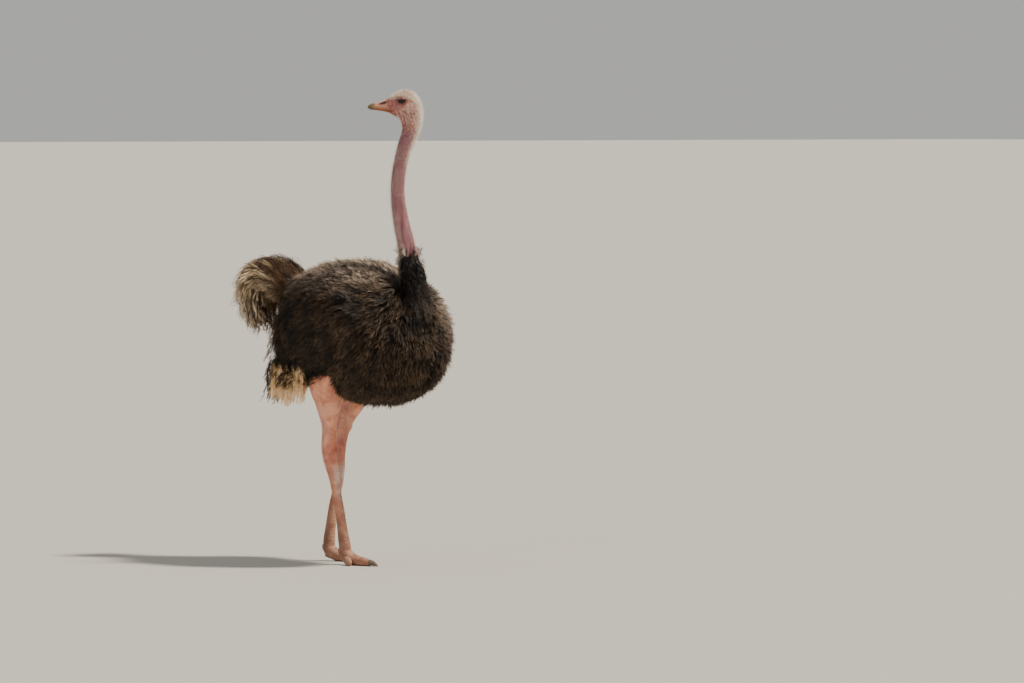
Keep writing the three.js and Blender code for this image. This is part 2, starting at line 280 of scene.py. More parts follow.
def wing_surface(side):
    return lambda u, v: egg(WING, u, v, WING_DEPTH, MIRROR[side] * WING_LATERAL)


def in_trunk(places):
    return in_egg(TRUNK, places, depth=BODY_DEPTH)


def in_wing(side, places):
    return in_egg(WING, places, MIRROR[side] * WING_LATERAL, WING_DEPTH)


def short_of_poles(surface):
    """A surface without the very tips of its egg, where all its columns would meet."""
    return lambda u, v: surface(u, 0.001 + 0.998 * v)


skin = make_object("skin", tube(56, 44, short_of_poles(trunk_surface)))
wings = []
for side in MIRROR:
    wings.append(make_object("wing_skin_" + side, tube(40, 30, short_of_poles(wing_surface(side)))))
print("trunk points:", len(skin.data.vertices))

# %% Neck and head
NECK = [
    # lateral, forward, height, half width, half depth
    [-20, 345, 1000, 52, 56],
    [-26, 385, 1080, 50, 54],
    [-20, 384, 1150, 48, 52],
    [-6, 362, 1235, 45, 49],
    [0, 347, 1320, 42.5, 46],
    [0, 329, 1388, 40.5, 43.5],
    [0, 300, 1473, 37.5, 40.4],
    [0, 268, 1565, 33.6, 36.5],
    [0, 247, 1660, 30.6, 32.6],
    [0, 246, 1745, 29.1, 31.1],
    [6, 253, 1815, 28.6, 30.6],
    [20, 262, 1885, 29.1, 31.6],
    [35, 273, 1942, 30.4, 33.6],
]
HEAD = [
    # near side: from the back of the head and height; far side: the same; half width
    [88, 1978, 15.5, 1978, 32],
    [89.5, 1999, 10, 2001, 33.5],
    [91.5, 2009, 5, 2026, 35],
    [94, 2016, 4, 2052, 37],
    [97, 2021, 6, 2078, 39.5],
    [99.5, 2024, 13, 2104, 41.5],
    [102.5, 2027, 27, 2127, 43],
    [106, 2030, 46, 2143, 43.5],
    [110, 2033, 68, 2150, 43],
    [115, 2036.5, 90, 2148.5, 41],
    [121, 2040, 107, 2143, 37.5],
    [129, 2044.5, 121, 2137, 33.5],
    [138, 2050, 135, 2130.5, 30],
    [149, 2057, 149, 2121, 26.5],
]


def neck_rows():
    """The neck's rows as near place, far place, left direction and half width, in metres."""
    table = np.array(NECK, float)
    centre = on_bird(*table[:, :3].T)
    along = unit(np.gradient(centre, axis=0))
    turn = np.radians(180 - 50 * ease(np.linspace(0, 1, len(table)), 0.45, 1.0))[:, None]
    left = np.cos(turn) * LEFT - np.sin(turn) * np.array([0, 1, 0])
    far = np.sin(turn) * LEFT + np.cos(turn) * np.array([0, 1, 0])
    far = unit(far - along * (far * along).sum(-1, keepdims=True))
    depth = table[:, 4:5] * MM
    return np.hstack([centre - far * depth, centre + far * depth, left, table[:, 3:4] * MM])


def head_rows():
    """The head's rows in the same form."""
    near_ahead, near_up, far_ahead, far_up, width = np.array(HEAD, float).T
    near, far = in_head(near_ahead, 0, near_up), in_head(far_ahead, 0, far_up)
    return np.hstack([near, far, np.tile(HEAD_LEFT, (len(near), 1)), width[:, None] * MM])


NECK_AND_HEAD = np.vstack([neck_rows(), head_rows()])
HEAD_START = len(NECK) / (len(NECK_AND_HEAD) - 1)


def even_steps(rows, step):
    """Row places from 0 to 1 whose spacing follows step(place), in metres."""
    t = np.linspace(0, 1, 4001)
    ends = smooth_rows(rows, t)
    moved = np.linalg.norm(np.diff(ends[:, :3], axis=0), axis=1)
    moved = 0.4 * moved + 0.6 * np.linalg.norm(np.diff(ends[:, 3:6], axis=0), axis=1)
    count = np.concatenate([[0], np.cumsum(moved / step((t[1:] + t[:-1]) / 2))])
    rings = int(count[-1]) + 1
    return np.interp(np.linspace(0, count[-1], rings), count, t)


def neck_and_head(u, row):
    """Places on the neck and head: u runs round from 0 to 1, row along from the breast to the face."""
    ends = smooth_rows(NECK_AND_HEAD, row)
    near, far, left, width = ends[:, :3], ends[:, 3:6], ends[:, 6:9], ends[:, 9:10]
    angle = 2 * np.pi * u[:, None]
    full = 2 + 0.3 * ease(row, HEAD_START, 1)[:, None]
    side, towards_far = power(np.cos(angle), 2 / full), power(np.sin(angle), 2 / full)
    return (near + far) / 2 + (far - near) / 2 * towards_far + unit(left) * width * side


def head_step(t):
    return np.where(t < 0.2, 8, np.where(t < HEAD_START, 4, 1.5)) * MM


HEAD_RINGS = even_steps(NECK_AND_HEAD, head_step)


def rolled_head(u, v):
    return neck_and_head(u, np.interp(v, np.linspace(0, 1, len(HEAD_RINGS)), HEAD_RINGS))


head = make_object("head_skin", tube(112, len(HEAD_RINGS), rolled_head))
print("rings along neck and head:", len(HEAD_RINGS), "points:", len(head.data.vertices))

# %% [markdown]
# ## Legs and toes
#
# An ostrich's knee is hidden in the feathers; the joint half-way down is the hock. Each leg is one tube
# through stations at the same heights, along a line of its own for each side. Overlapping plates run
# down the front of the shank and over the two toes. Only the large toe has a claw.

# %% Legs
LEG_SIZES = [
    # height, half width, half depth
    [960, 90, 102],
    [850, 78, 88],
    [740, 54, 62],
    [630, 33, 38],
    [515, 36, 43],
    [420, 31, 37],
    [345, 21, 26],
    [250, 21, 25],
    [150, 23, 27],
    [80, 27, 30],
    [40, 24, 26],
]
LEG_LINES = {
    # lateral and forward places at those heights
    "right": [
        [172, 10], [173, -57], [139, -74], [122, -95], [113, -100],
        [105, -79], [99, -75], [90, -61], [81, -49], [74, -41], [73, -34],
    ],
    "left": [
        [168, -165], [159, -192], [140, -229], [122, -279], [99, -302],
        [90, -289], [83, -281], [75, -302], [64, -311], [60, -315], [60, -308],
    ],
}
TOE_JOINT = {"right": [73, -40], "left": [60, -314]}
LARGE_TOE = [
    # distance from the toe joint, height, half width, half depth
    [-26, 52, 22, 24],
    [-8, 57, 27, 28],
    [16, 42, 30, 29],
    [50, 27, 29, 26],
    [90, 21, 24, 22],
    [135, 17, 20, 18],
    [167, 13.5, 13, 13],
]
SMALL_TOE = [
    [-14, 40, 18, 20],
    [6, 32, 20, 21],
    [45, 22, 18, 19],
    [85, 15, 14, 15],
    [113, 11, 8, 9],
]
LARGE_TOE_TURN, SMALL_TOE_TURN, FEET_TURN = 0.03, 0.6, 0.11


def tube_frame(rows, t, side):
    """Middles, wide and deep directions and half sizes along a limb, in metres."""
    rows = np.asarray(rows, float)
    centre = on_bird(*smooth_rows(rows[:, :3], t).T)
    nudged = on_bird(*smooth_rows(rows[:, :3], np.clip(t + 2e-3, 0, 1)).T)
    earlier = on_bird(*smooth_rows(rows[:, :3], np.clip(t - 2e-3, 0, 1)).T)
    along = unit(nudged - earlier)
    wide = unit(side - along * (along * side).sum(-1, keepdims=True))
    width, depth = (smooth_rows(rows[:, 3:5], t) * MM).T
    return centre, wide, np.cross(wide, along), width[:, None], depth[:, None]


def limb(rows, u, t, side=LEFT, out=0.0, fullness=2.0):
    """Places on a limb; out may be a number or one number per place, in metres."""
    centre, wide, deep, width, depth = tube_frame(rows, t, side)
    across = power(np.cos(2 * np.pi * u), 2 / fullness)[:, None]
    back = power(np.sin(2 * np.pi * u), 2 / fullness)[:, None]
    out = np.broadcast_to(out, u.shape)[:, None]
    return centre + wide * across * (width + out) + deep * back * (depth + out)


def round_ends(out, v, size, first, last):
    """Draws a limb in over the first and last shares of its length, so that its ends are round."""
    part = np.minimum(np.clip(v / first, 0, 1), np.clip((1 - v) / last, 0, 1))
    return out - size * (1 - np.sqrt(1 - (1 - part) ** 2))


def leg_rows(side):
    """The stations of one leg: lateral, forward, height, half width, half depth."""
    line = zip(LEG_LINES[side], LEG_SIZES)
    return [[MIRROR[side] * lateral, forward, *sizes] for (lateral, forward), sizes in line]


def from_front(u):
    """The angle round a limb from the middle of its front, or of its top, from -pi to pi."""
    return (2 * np.pi * u + 1.5 * np.pi) % (2 * np.pi) - np.pi


def plates(height, around, period, reach):
    """Overlapping plates down the front of a leg: each one is highest at its lower edge."""
    step = height / period + 0.16 * np.sin(height * 0.043) + 0.1 * np.sin(around * 2.2 + height * 0.02)
    part = 1 - (step - np.floor(step))
    return ease(part, 0.0, 0.75) * ease(part, 1.0, 0.9) * ease(np.abs(around), reach, reach * 0.8)


def leg(side):
    """Places on a leg, with its tendons, the knobs of the hock and the plates down the front."""
    rows = leg_rows(side)

    def shape(u, v):
        t = 0.002 + 0.996 * v
        places = limb(rows, u, t)
        height = from_bird(places)[2]
        front = from_front(u)
        sideways = hump(np.abs(front), 1.55, 0.5)
        out = -0.9 + 0 * u
        shank = ease(height, 520, 440)
        out += 1.3 * shank * plates(height, front, 15.5, 0.85) * ease(height, 60, 110)
        out -= 2.6 * sideways * shank * ease(height, 110, 190)
        out -= 1.6 * hump(np.abs(front), 2.35, 0.35) * ease(height, 440, 380) * ease(height, 120, 200)
        out += 4.0 * hump(height, 556, 34) * hump(np.abs(front), np.pi, 0.9)
        out += 2.2 * hump(height, 500, 46) * hump(np.abs(front), 1.2, 0.7)
        out -= 3.2 * hump(height, 600, 70) * hump(np.abs(front), 1.9, 0.6)
        out += 0.35 * np.sin(height * 0.9 + 2 * np.sin(front * 2)) * hump(height, 540, 50)
        out += 9.0 * hump(height, 725, 110) * hump(np.abs(front), 2.3, 0.9)
        out += 6.0 * hump(height, 610, 26) * hump(front * MIRROR[side], 0.9, 0.6)
        return limb(rows, u, t, out=round_ends(out, v, 22, 0.001, 0.02) * MM)

    return shape


def toe_rows(side, outwards, rows):
    """A toe's stations, and the direction across it."""
    mirror = MIRROR[side]
    turn = outwards + mirror * FEET_TURN
    lateral, forward = TOE_JOINT[side]
    along = [mirror * math.sin(turn), math.cos(turn)]
    stations = [
        [mirror * lateral + row[0] * along[0], forward + row[0] * along[1], *row[1:]] for row in rows
    ]
    return stations, np.array([math.cos(turn), mirror * math.sin(turn), 0.0])


def toe(side, outwards, rows, period=11.0):
    """Places on a toe: plates on top, a padded sole that is flat where it stands."""
    stations, across = toe_rows(side, outwards, rows)

    def shape(u, v):
        t = 0.004 + 0.992 * v
        top = from_front(u)
        flat = limb(stations, u, t, across)
        distance = np.linalg.norm((flat - flat[np.argmin(v)])[:, :2], axis=1) / MM
        out = 1.0 * plates(-distance + 400, top, period, 1.1)
        out += 0.7 * np.sin(distance * 0.55) * hump(np.abs(top), np.pi, 1.2)
        out -= 1.4 * hump(np.abs(top), 1.9, 0.35) + 0.7
        out = round_ends(out, v, rows[-1][2] - 2, 0.06, 0.05)
        places = limb(stations, u, t, across, out=out * MM, fullness=2.2)
        places[:, 2] = np.maximum(places[:, 2], 0.0003)
        return places

    return shape


legs = []
for side in MIRROR:
    legs.append(make_object("leg_skin_" + side, tube(60, 330, leg(side))))
    legs.append(make_object("toe_large_skin_" + side, tube(44, 74, toe(side, LARGE_TOE_TURN, LARGE_TOE))))
    legs.append(make_object("toe_small_skin_" + side, tube(36, 50, toe(side, SMALL_TOE_TURN, SMALL_TOE))))
print("points of legs and toes:", [len(made.data.vertices) for made in legs])

# %% [markdown]
# ## Eyes and their lids
#
# An ostrich's eye is a ball about as wide as a plum. The lids are skin stretched over that ball, so
# they begin as a slightly larger sphere joined to the head. An almond-shaped prism cuts the opening,
# the ball itself cuts the hollow, and a rounded bead round the almond makes the thick edge of the lid.
# The pieces of skin are then united with Boolean modifiers, so that the animal has a single skin.

# %% Lids and eyeballs
ALMOND_LENGTH, ALMOND_HEIGHT = 17.0, 9.3
LID = 1.9


def head_axes(side):
    """Forward, outward and up for one side of the head."""
    return HEAD_FORWARD, HEAD_LEFT * MIRROR[side], UP


def almond(turn, grow=0.0):
    """Forward and up, in millimetres from the eye's middle, round the opening of the lids."""
    forward = np.cos(turn) * (ALMOND_LENGTH + grow)
    up = power(np.sin(turn), 1.25) * (ALMOND_HEIGHT + grow)
    return forward, up + 0.9 - 0.07 * forward


def eye_centre(side):
    return in_head(EYE_FORWARD, MIRROR[side] * EYE_SIDE, EYE_HEIGHT)


def ball(name, centre, radius, segments):
    """A sphere, as a bmesh object."""
    bm = bmesh.new()
    bmesh.ops.create_uvsphere(bm, u_segments=segments, v_segments=segments * 2 // 3, radius=radius * MM)
    bmesh.ops.translate(bm, verts=bm.verts, vec=Vector(centre))
    return make_object(name, bm)


def opening(side):
    """A prism through the lids."""
    bm = bmesh.new()
    bmesh.ops.create_circle(bm, cap_ends=True, segments=64, radius=1)
    forward, outward, up = head_axes(side)
    turns = np.array([math.atan2(vert.co.y, vert.co.x) for vert in bm.verts])
    ahead, high = almond(turns)
    places = eye_centre(side) + (ahead[:, None] * forward + high[:, None] * up + 4 * outward) * MM
    for vert, place in zip(bm.verts, places):
        vert.co = place
    grown = bmesh.ops.extrude_face_region(bm, geom=bm.faces[:])["geom"]
    moved = [part for part in grown if isinstance(part, bmesh.types.BMVert)]
    bmesh.ops.translate(bm, verts=moved, vec=Vector(outward * 60 * MM))
    bmesh.ops.recalc_face_normals(bm, faces=bm.faces)
    return make_object("opening_" + side, bm)


def lid_edge(side):
    """A bead round the opening, lying on the ball."""
    forward, outward, up = head_axes(side)

    def shape(u, v):
        turn, round_bead = 2 * np.pi * v, 2 * np.pi * u
        thick = 1.15 + 0.3 * np.sin(turn)
        ahead, high = almond(turn, 0.75 + thick * np.cos(round_bead))
        reach = EYE_RADIUS + 0.9 + thick * np.sin(round_bead) * 1.1
        out = np.sqrt(np.maximum(reach**2 - ahead**2 - high**2, 60))
        steps = ahead[:, None] * forward + high[:, None] * up + out[:, None] * outward
        return eye_centre(side) + steps * MM

    return shape


lids, hollows = [], []
for side in MIRROR:
    lids.append(ball("lid_" + side, eye_centre(side), EYE_RADIUS + LID, 144))
    lids.append(make_object("lid_edge_" + side, tube(10, 110, lid_edge(side), seam=1e-5)))
    hollows.append(opening(side))
    hollows.append(ball("hollow_" + side, eye_centre(side), EYE_RADIUS + 0.12, 96))
print("made the lids of both eyes")

# %% [markdown]
# ## Shaping the face
#
# Before the lids are joined on, the face is modelled by moving its points in and out: a brow above
# the eye, the hollow in front of it, the line of the mouth running back under the eye, and the ear,
# which in an ostrich is a bare round opening behind and below the eye.

# %% Face
def head_places(places):
    """Forward, left and up in the head, in millimetres, of places on the bird."""
    moved = places - in_head(0, 0, 0)
    return (moved @ HEAD_FORWARD) / MM, (moved @ HEAD_LEFT) / MM, (moved @ UP) / MM


MOUTH = np.array([[96, 2037], [112, 2046.5], [127, 2053], [143, 2058.5], [160, 2063], [185, 2068.5]], float)
EAR = np.array([39.0, 2049.0])


def mouth_height(forward):
    """The height of the line of the mouth at a distance from the back of the head."""
    return np.interp(forward, MOUTH[:, 0], MOUTH[:, 1])


def crown_line(forward):
    """The height where the pale bristles of the crown begin."""
    return np.interp(forward, [15, 40, 75, 120, 163, 175], [2070, 2104, 2126, 2121, 2110, 2105])


def nape_hair_and_rim_light(forward, up):
    """1 on the nape and down the back of the neck, where the bristles thin out: a pale band that is partly
    the nape's own colour and partly painted rim light.
    """
    rear = np.interp(up, [1736, 1841, 1995, 2050], [76, 67, 9.5, 0])
    width = np.interp(up, [1800, 1990, 2040, 2090], [9, 17, 26, 44])
    return ease(forward - rear, width, 0.3 * width) * ease(up, 1760, 2010)


def face_relief(forward, left, up):
    """How far the face stands out at each place, in millimetres."""
    flank = ease(np.abs(left), 10, 24)
    ahead, high = forward - EYE_FORWARD, up - EYE_HEIGHT
    reach = np.hypot(ahead / 1.12, high)
    out = 2.6 * hump(high - 3 - 0.12 * ahead, 20, 11) * hump(ahead, 2, 34) * flank
    out -= 3.0 * hump(reach, 28, 13) * flank * ease(high, 18, 2)
    out -= 2.4 * hump(np.hypot((forward - 124) / 1.5, high), 0, 15) * flank
    out += 2.2 * hump(np.hypot((forward - 66) / 1.5, up - 2070), 0, 24) * flank
    lip = up - mouth_height(forward)
    along = ease(forward, 92, 106) * flank
    out += (-2.2 * hump(lip, 0, 2.6) + 0.9 * hump(lip, 4.2, 3.4) + 0.9 * hump(lip, -4, 3.4)) * along
    ear = np.hypot((forward - EAR[0]) / 0.8, up - EAR[1])
    out += (1.2 * hump(ear, 9.5, 4.5) - 4.5 * ease(ear, 7.5, 3.0)) * flank
    fold = hump(up - 2036 - 0.35 * (forward - 80), 0, 4) * ease(forward, 50, 62) * ease(forward, 92, 84)
    out -= 1.0 * fold * flank
    out += 0.5 * np.sin(reach * 1.35) * hump(reach, 26, 12) * flank
    return out


GROOVE = np.array([[1400, -35], [1455, -26], [1527, -17], [1632, 13], [1760, 44], [1850, 65]], float)


def neck_turn(places):
    """Degrees round the neck from the line below the left cheek, and from the groove on its side."""
    ends = smooth_rows(NECK_AND_HEAD, np.linspace(0, HEAD_START, 300))
    middle = (ends[:, :3] + ends[:, 3:6]) / 2
    away = places - middle[np.argmin(np.abs(places[:, 2][:, None] - middle[:, 2][None]), axis=1)]
    turn = np.degrees(np.arctan2(-away @ HEAD_FORWARD, away @ HEAD_LEFT))
    groove = np.interp(from_bird(places)[2], GROOVE[:, 0], GROOVE[:, 1])
    wander = 5 * np.sin(places[:, 2] * 33) + 2 * np.sin(places[:, 2] * 91)
    from_groove = [(turn - groove - wander - start + 180) % 360 - 180 for start in (0, 168)]
    return turn, np.minimum(*np.abs(from_groove))


def neck_relief(places):
    """How far the neck stands out, in millimetres: a groove on either side, tendons, fine folds across."""
    height = from_bird(places)[2]
    turn, from_groove = neck_turn(places)
    out = -2.4 * hump(from_groove, 0, 15) + 1.1 * hump(from_groove, 27, 15)
    out -= 0.7 * hump(from_groove, 52, 12)
    folds = np.sin(height * 1.15 + 2.5 * np.sin(np.radians(turn) * 2) + 2 * np.sin(height * 0.13))
    out += 0.28 * folds * (0.5 + 0.5 * np.sin(height * 0.06 + np.radians(turn)))
    return out * ease(height, 1400, 1450) * ease(height, 2000, 1930)


places, normals = places_of(head), normals_of(head)
forward, left, up = head_places(places)
relief = face_relief(forward, left, up) * ease(up, 1975, 2000) + neck_relief(places)
move_points(head, places + normals * (relief * MM)[:, None])
print("the face stands out by", relief.min().round(1), "to", relief.max().round(1), "mm")

# %% [markdown]
# ## One skin
#
# Trunk, wings, neck, legs, toes and lids overlap. Boolean modifiers unite them, which leaves no inner
# walls, and cut the openings of the lids. The manifold solver is quick and exact on closed meshes.

# %% Skin in one piece
def combine(made, other, operation):
    """Joins another closed mesh to this one or cuts it away, and removes the other."""
    modifier = made.modifiers.new("combine", "BOOLEAN")
    modifier.operation = operation
    modifier.solver = "MANIFOLD"
    modifier.object = other
    bpy.context.view_layer.update()
    united = bpy.data.meshes.new_from_object(made.evaluated_get(bpy.context.evaluated_depsgraph_get()))
    made.modifiers.clear()
    made.data = united
    bpy.data.objects.remove(other)


for piece in [head, *wings, *legs, *lids]:
    combine(skin, piece, "UNION")
for piece in hollows:
    combine(skin, piece, "DIFFERENCE")
skin.data.name = "skin"
skin.data.shade_smooth()
print("skin triangles:", sum(len(face.vertices) - 2 for face in skin.data.polygons))

# %% [markdown]
# ## Bill, claws and eyes
#
# Horn is a separate material on the real bird, so bill and claws are pieces of their own. The bill's
# cross-section is a low arch: flat along the mouth, with a raised ridge along the middle of the upper
# half, a groove on each side of the ridge and a long slit of a nostril in that groove.

# %% Bill
BILL_ROUND, BILL_ARCH = 0.86, 0.92
NOSTRIL = 175
UPPER_BILL = [
    # distance from the back of the head, height of the mouth, height of the top, half width
    [122, 2062, 2116, 24.0],
    [138, 2064.5, 2123.5, 26.6],
    [149, 2067, 2121.2, 26.8],
    [165, 2069, 2113.5, 25.2],
    [182, 2070.5, 2106.5, 23.4],
    [198, 2072, 2101, 21.8],
    [213, 2074, 2098.6, 19.8],
    [226, 2075.5, 2095, 16.8],
    [236, 2076.5, 2090.5, 12.0],
    [242, 2077, 2085.5, 6.5],
    [244.4, 2077.5, 2081, 2.0],
]
LOWER_BILL = [
    # the same, with the height of the underside in place of the top
    [120, 2054, 2047, 20.5],
    [130, 2056, 2047.5, 22.8],
    [140, 2058.5, 2051, 24.2],
    [149, 2062, 2054.5, 24.4],
    [165, 2066.5, 2058.5, 23.0],
    [182, 2069, 2062, 21.4],
    [198, 2070.8, 2064.5, 19.8],
    [213, 2072.8, 2066.5, 17.8],
    [226, 2074.2, 2068, 14.6],
    [234, 2075.2, 2070, 10.2],
    [238.5, 2075.8, 2072.3, 5.0],
    [240, 2076, 2074.5, 1.6],
]


def upper_bill(u, v):
    forward, mouth, top, width = smooth_rows(UPPER_BILL, v).T
    turn = 2 * np.pi * u
    across, up = power(np.cos(turn), BILL_ROUND), np.sin(turn)
    ridge = np.abs(turn - 0.5 * np.pi)
    arch = np.where(up > 0, np.abs(up) ** BILL_ARCH, 0.12 * up)
    out = 1.4 * hump(ridge, 0, 0.5) * ease(forward, 150, 176) * ease(forward, 246, 228)
    out -= 2.6 * hump(ridge, 0.72, 0.34) * ease(forward, 146, 164) * ease(forward, 214, 190)
    slit = np.hypot((forward - NOSTRIL) / 3.3, (ridge - 0.74) * 24)
    out -= 5.0 * ease(slit, 4.8, 2.4)
    out += 1.0 * hump(slit, 6.2, 1.8)
    out += 0.5 * hump(up, 0.05, 0.09) * ease(forward, 132, 150)
    out += 0.12 * np.sin(forward * 2.1 + 2 * np.sin(turn * 3)) * ease(forward, 214, 226)
    height = mouth + arch * (top - mouth) + out * np.clip(up, 0, 1)
    return in_head(forward, across * (width + out), height)


def lower_bill(u, v):
    forward, mouth, under, width = smooth_rows(LOWER_BILL, v).T
    turn = 2 * np.pi * u
    up = np.sin(turn)
    below = np.where(up < 0, -np.abs(up) ** 0.9, 0.1 * up)
    out = -0.8 * hump(turn, 1.5 * np.pi, 0.9) * ease(forward, 205, 180)
    lateral = power(np.cos(turn), BILL_ROUND) * width
    return in_head(forward, lateral, mouth + below * (mouth - under) - out * np.clip(-up, 0, 1))


bill_upper = make_object("bill_upper_horn", tube(88, 130, upper_bill))
bill_lower = make_object("bill_lower_horn", tube(88, 130, lower_bill))
print("points of half a bill:", len(bill_upper.data.vertices))

# %% Claws
CLAW = [
    # distance from the toe joint, height, half width, half depth
    [150, 16.5, 12.0, 12.5],
    [163, 16.5, 13.0, 13.0],
    [176, 14.5, 12.0, 11.5],
    [188, 11.5, 9.8, 9.4],
    [199, 8.2, 7.0, 7.0],
    [206, 5.4, 4.2, 4.6],
    [209.5, 3.6, 1.6, 2.0],
]


def claw(side):
    stations, across = toe_rows(side, LARGE_TOE_TURN, CLAW)

    def shape(u, v):
        turn = 2 * np.pi * u
        out = 0.25 * np.sin(v * 46 + np.sin(turn)) * ease(v, 0.9, 0.5)
        out += 0.5 * hump(turn, 1.5 * np.pi, 0.7)
        places = limb(stations, u, v, across, out=out * MM, fullness=2.15)
        places[:, 2] = np.maximum(places[:, 2], 0.0002)
        return places

    return shape


claws = {side: make_object("claw_horn_" + side, tube(48, 60, claw(side))) for side in MIRROR}
print("points of a claw:", len(claws["left"].data.vertices))

# %% Eyes
LOOK_FORWARD = 0.16


def eyeball(side):
    """A ball with a slight bulge where the clear cornea is."""
    made = ball("eyeball_" + side, eye_centre(side), EYE_RADIUS - 0.35, 112)
    forward, outward, up = head_axes(side)
    ahead = unit(outward + LOOK_FORWARD * forward)
    steps = places_of(made) - eye_centre(side)
    angle = np.arccos(np.clip(unit(steps) @ ahead, -1, 1))
    steps *= (1 + 0.022 * ease(angle, 0.62, 0.2))[:, None]
    move_points(made, eye_centre(side) + steps)
    number(made, "off_axis", angle)
    return made


eyes = {side: eyeball(side) for side in MIRROR}
print("points of an eye:", len(eyes["left"].data.vertices))

# %% [markdown]
# ## Materials
#
# A material is a small calculation. `Value` wraps one output of a node so that Python's own operators
# add Math nodes, and `Material.node` adds any other node. Colours are written as they look on a
# screen, as in "#c08c80", and turned into the amounts of light that a renderer works with.

# %% Shader helpers
def rgb(code):
    """The linear colour of a screen colour such as "#c08c80"."""
    screen = np.array([int(code[i : i + 2], 16) for i in (1, 3, 5)]) / 255
    return np.where(screen < 0.04045, screen / 12.92, ((screen + 0.055) / 1.055) ** 2.4)


# A Mix node has a row of sockets for each kind of value: these are the ones for colours.
MIX_COLOUR_INPUTS, MIX_COLOUR_OUTPUT = (0, 6, 7), 2


class Value:
    """An output of a node; arithmetic on it adds Math nodes."""

    def __init__(self, material, socket):
        self.material = material
        self.socket = socket

    def math(self, operation, *values):
        return self.material.node("ShaderNodeMath", {"operation": operation}, *values)

    def __add__(self, other):
        return self.math("ADD", self, other)

    def __radd__(self, other):
        return self.math("ADD", other, self)

    def __sub__(self, other):
        return self.math("SUBTRACT", self, other)

    def __rsub__(self, other):
        return self.math("SUBTRACT", other, self)

    def __mul__(self, other):
        return self.math("MULTIPLY", self, other)

    def __rmul__(self, other):
        return self.math("MULTIPLY", other, self)


class Material:
    """A Principled material: constants are set on the shader's own sockets."""

    def __init__(self, name, **constants):
        self.made = bpy.data.materials.new(name)
        self.made.use_nodes = True
        self.tree = self.made.node_tree
        self.shader = self.tree.nodes["Principled BSDF"]
        for socket, constant in constants.items():
            self.shader.inputs[socket.replace("_", " ")].default_value = constant

    def connect(self, socket, value):
        if isinstance(value, Value):
            self.tree.links.new(value.socket, socket)
        elif isinstance(value, (int, float)):
            socket.default_value = value
        elif len(socket.default_value) == 4:
            socket.default_value = (*value[:3], 1.0)
        else:
            socket.default_value = tuple(value)

    def node(self, kind, settings, *values, output=0, **named):
        node = self.tree.nodes.new(kind)
        for setting, value in settings.items():
            setattr(node, setting, value)
        for socket, value in zip(node.inputs, values):
            self.connect(socket, value)
        for socket, value in named.items():
            self.connect(node.inputs[socket.replace("_", " ")], value)
        return Value(self, node.outputs[output])

    def mix(self, factor, first, second, blend="MIX"):
        """A mix of two colours."""
        node = self.tree.nodes.new("ShaderNodeMix")
        node.data_type = "RGBA"
        node.blend_type = blend
        for place, value in zip(MIX_COLOUR_INPUTS, (factor, first, second)):
            self.connect(node.inputs[place], value)
        return Value(self, node.outputs[MIX_COLOUR_OUTPUT])

    def attribute(self, name, output=2):
        """An attribute of the mesh: output 0 is its colour and output 2 its number."""
        return self.node("ShaderNodeAttribute", {"attribute_name": name}, output=output)

    def places(self, stretch=(1, 1, 1)):
        """Places on the object, stretched by three numbers."""
        plain = self.node("ShaderNodeTexCoord", {}, output=3)
        return self.node("ShaderNodeMapping", {}, plain, Scale=stretch)

    def noise(self, vector, scale, detail):
        return self.node("ShaderNodeTexNoise", {}, Vector=vector, Scale=scale, Detail=detail, Roughness=0.55)

    def cells(self, vector, scale, feature="DISTANCE_TO_EDGE"):
        return self.node("ShaderNodeTexVoronoi", {"feature": feature}, Vector=vector, Scale=scale)

    def clamp(self, value, low, high):
        """0 at low and 1 at high, straight in between."""
        return self.node("ShaderNodeMapRange", {}, value, From_Min=low, From_Max=high)

    def bump(self, height, strength, distance, under=None):
        named = {"Strength": strength, "Distance": distance, "Height": height}
        if under is not None:
            named["Normal"] = under
        return self.node("ShaderNodeBump", {}, **named)

    def finish(self, **sockets):
        """Links what varies over the surface to the shader."""
        for socket, value in sockets.items():
            self.connect(self.shader.inputs[socket.replace("_", " ")], value)
        return self.made


# %% [markdown]
# ## Colouring the skin
#
# A Masai ostrich's neck and legs are pink, redder along the grooves of the neck and on the front of
# the hock. The crown is a dull beige, and the plates on the front of the shank are paler than the
# skin beside them. These large areas are worked out for every point of the skin and kept as a colour
# on the mesh. The material adds the small mottling, the pores and the scales.

# %% Skin colours
def painter(paint):
    """A function that lays another colour over the colours in `paint` where a mask is 1."""

    def lay(mask, code):
        share = np.broadcast_to(mask, paint.shape[:1])[:, None]
        paint[:] = paint * (1 - share) + rgb(code) * share

    return lay


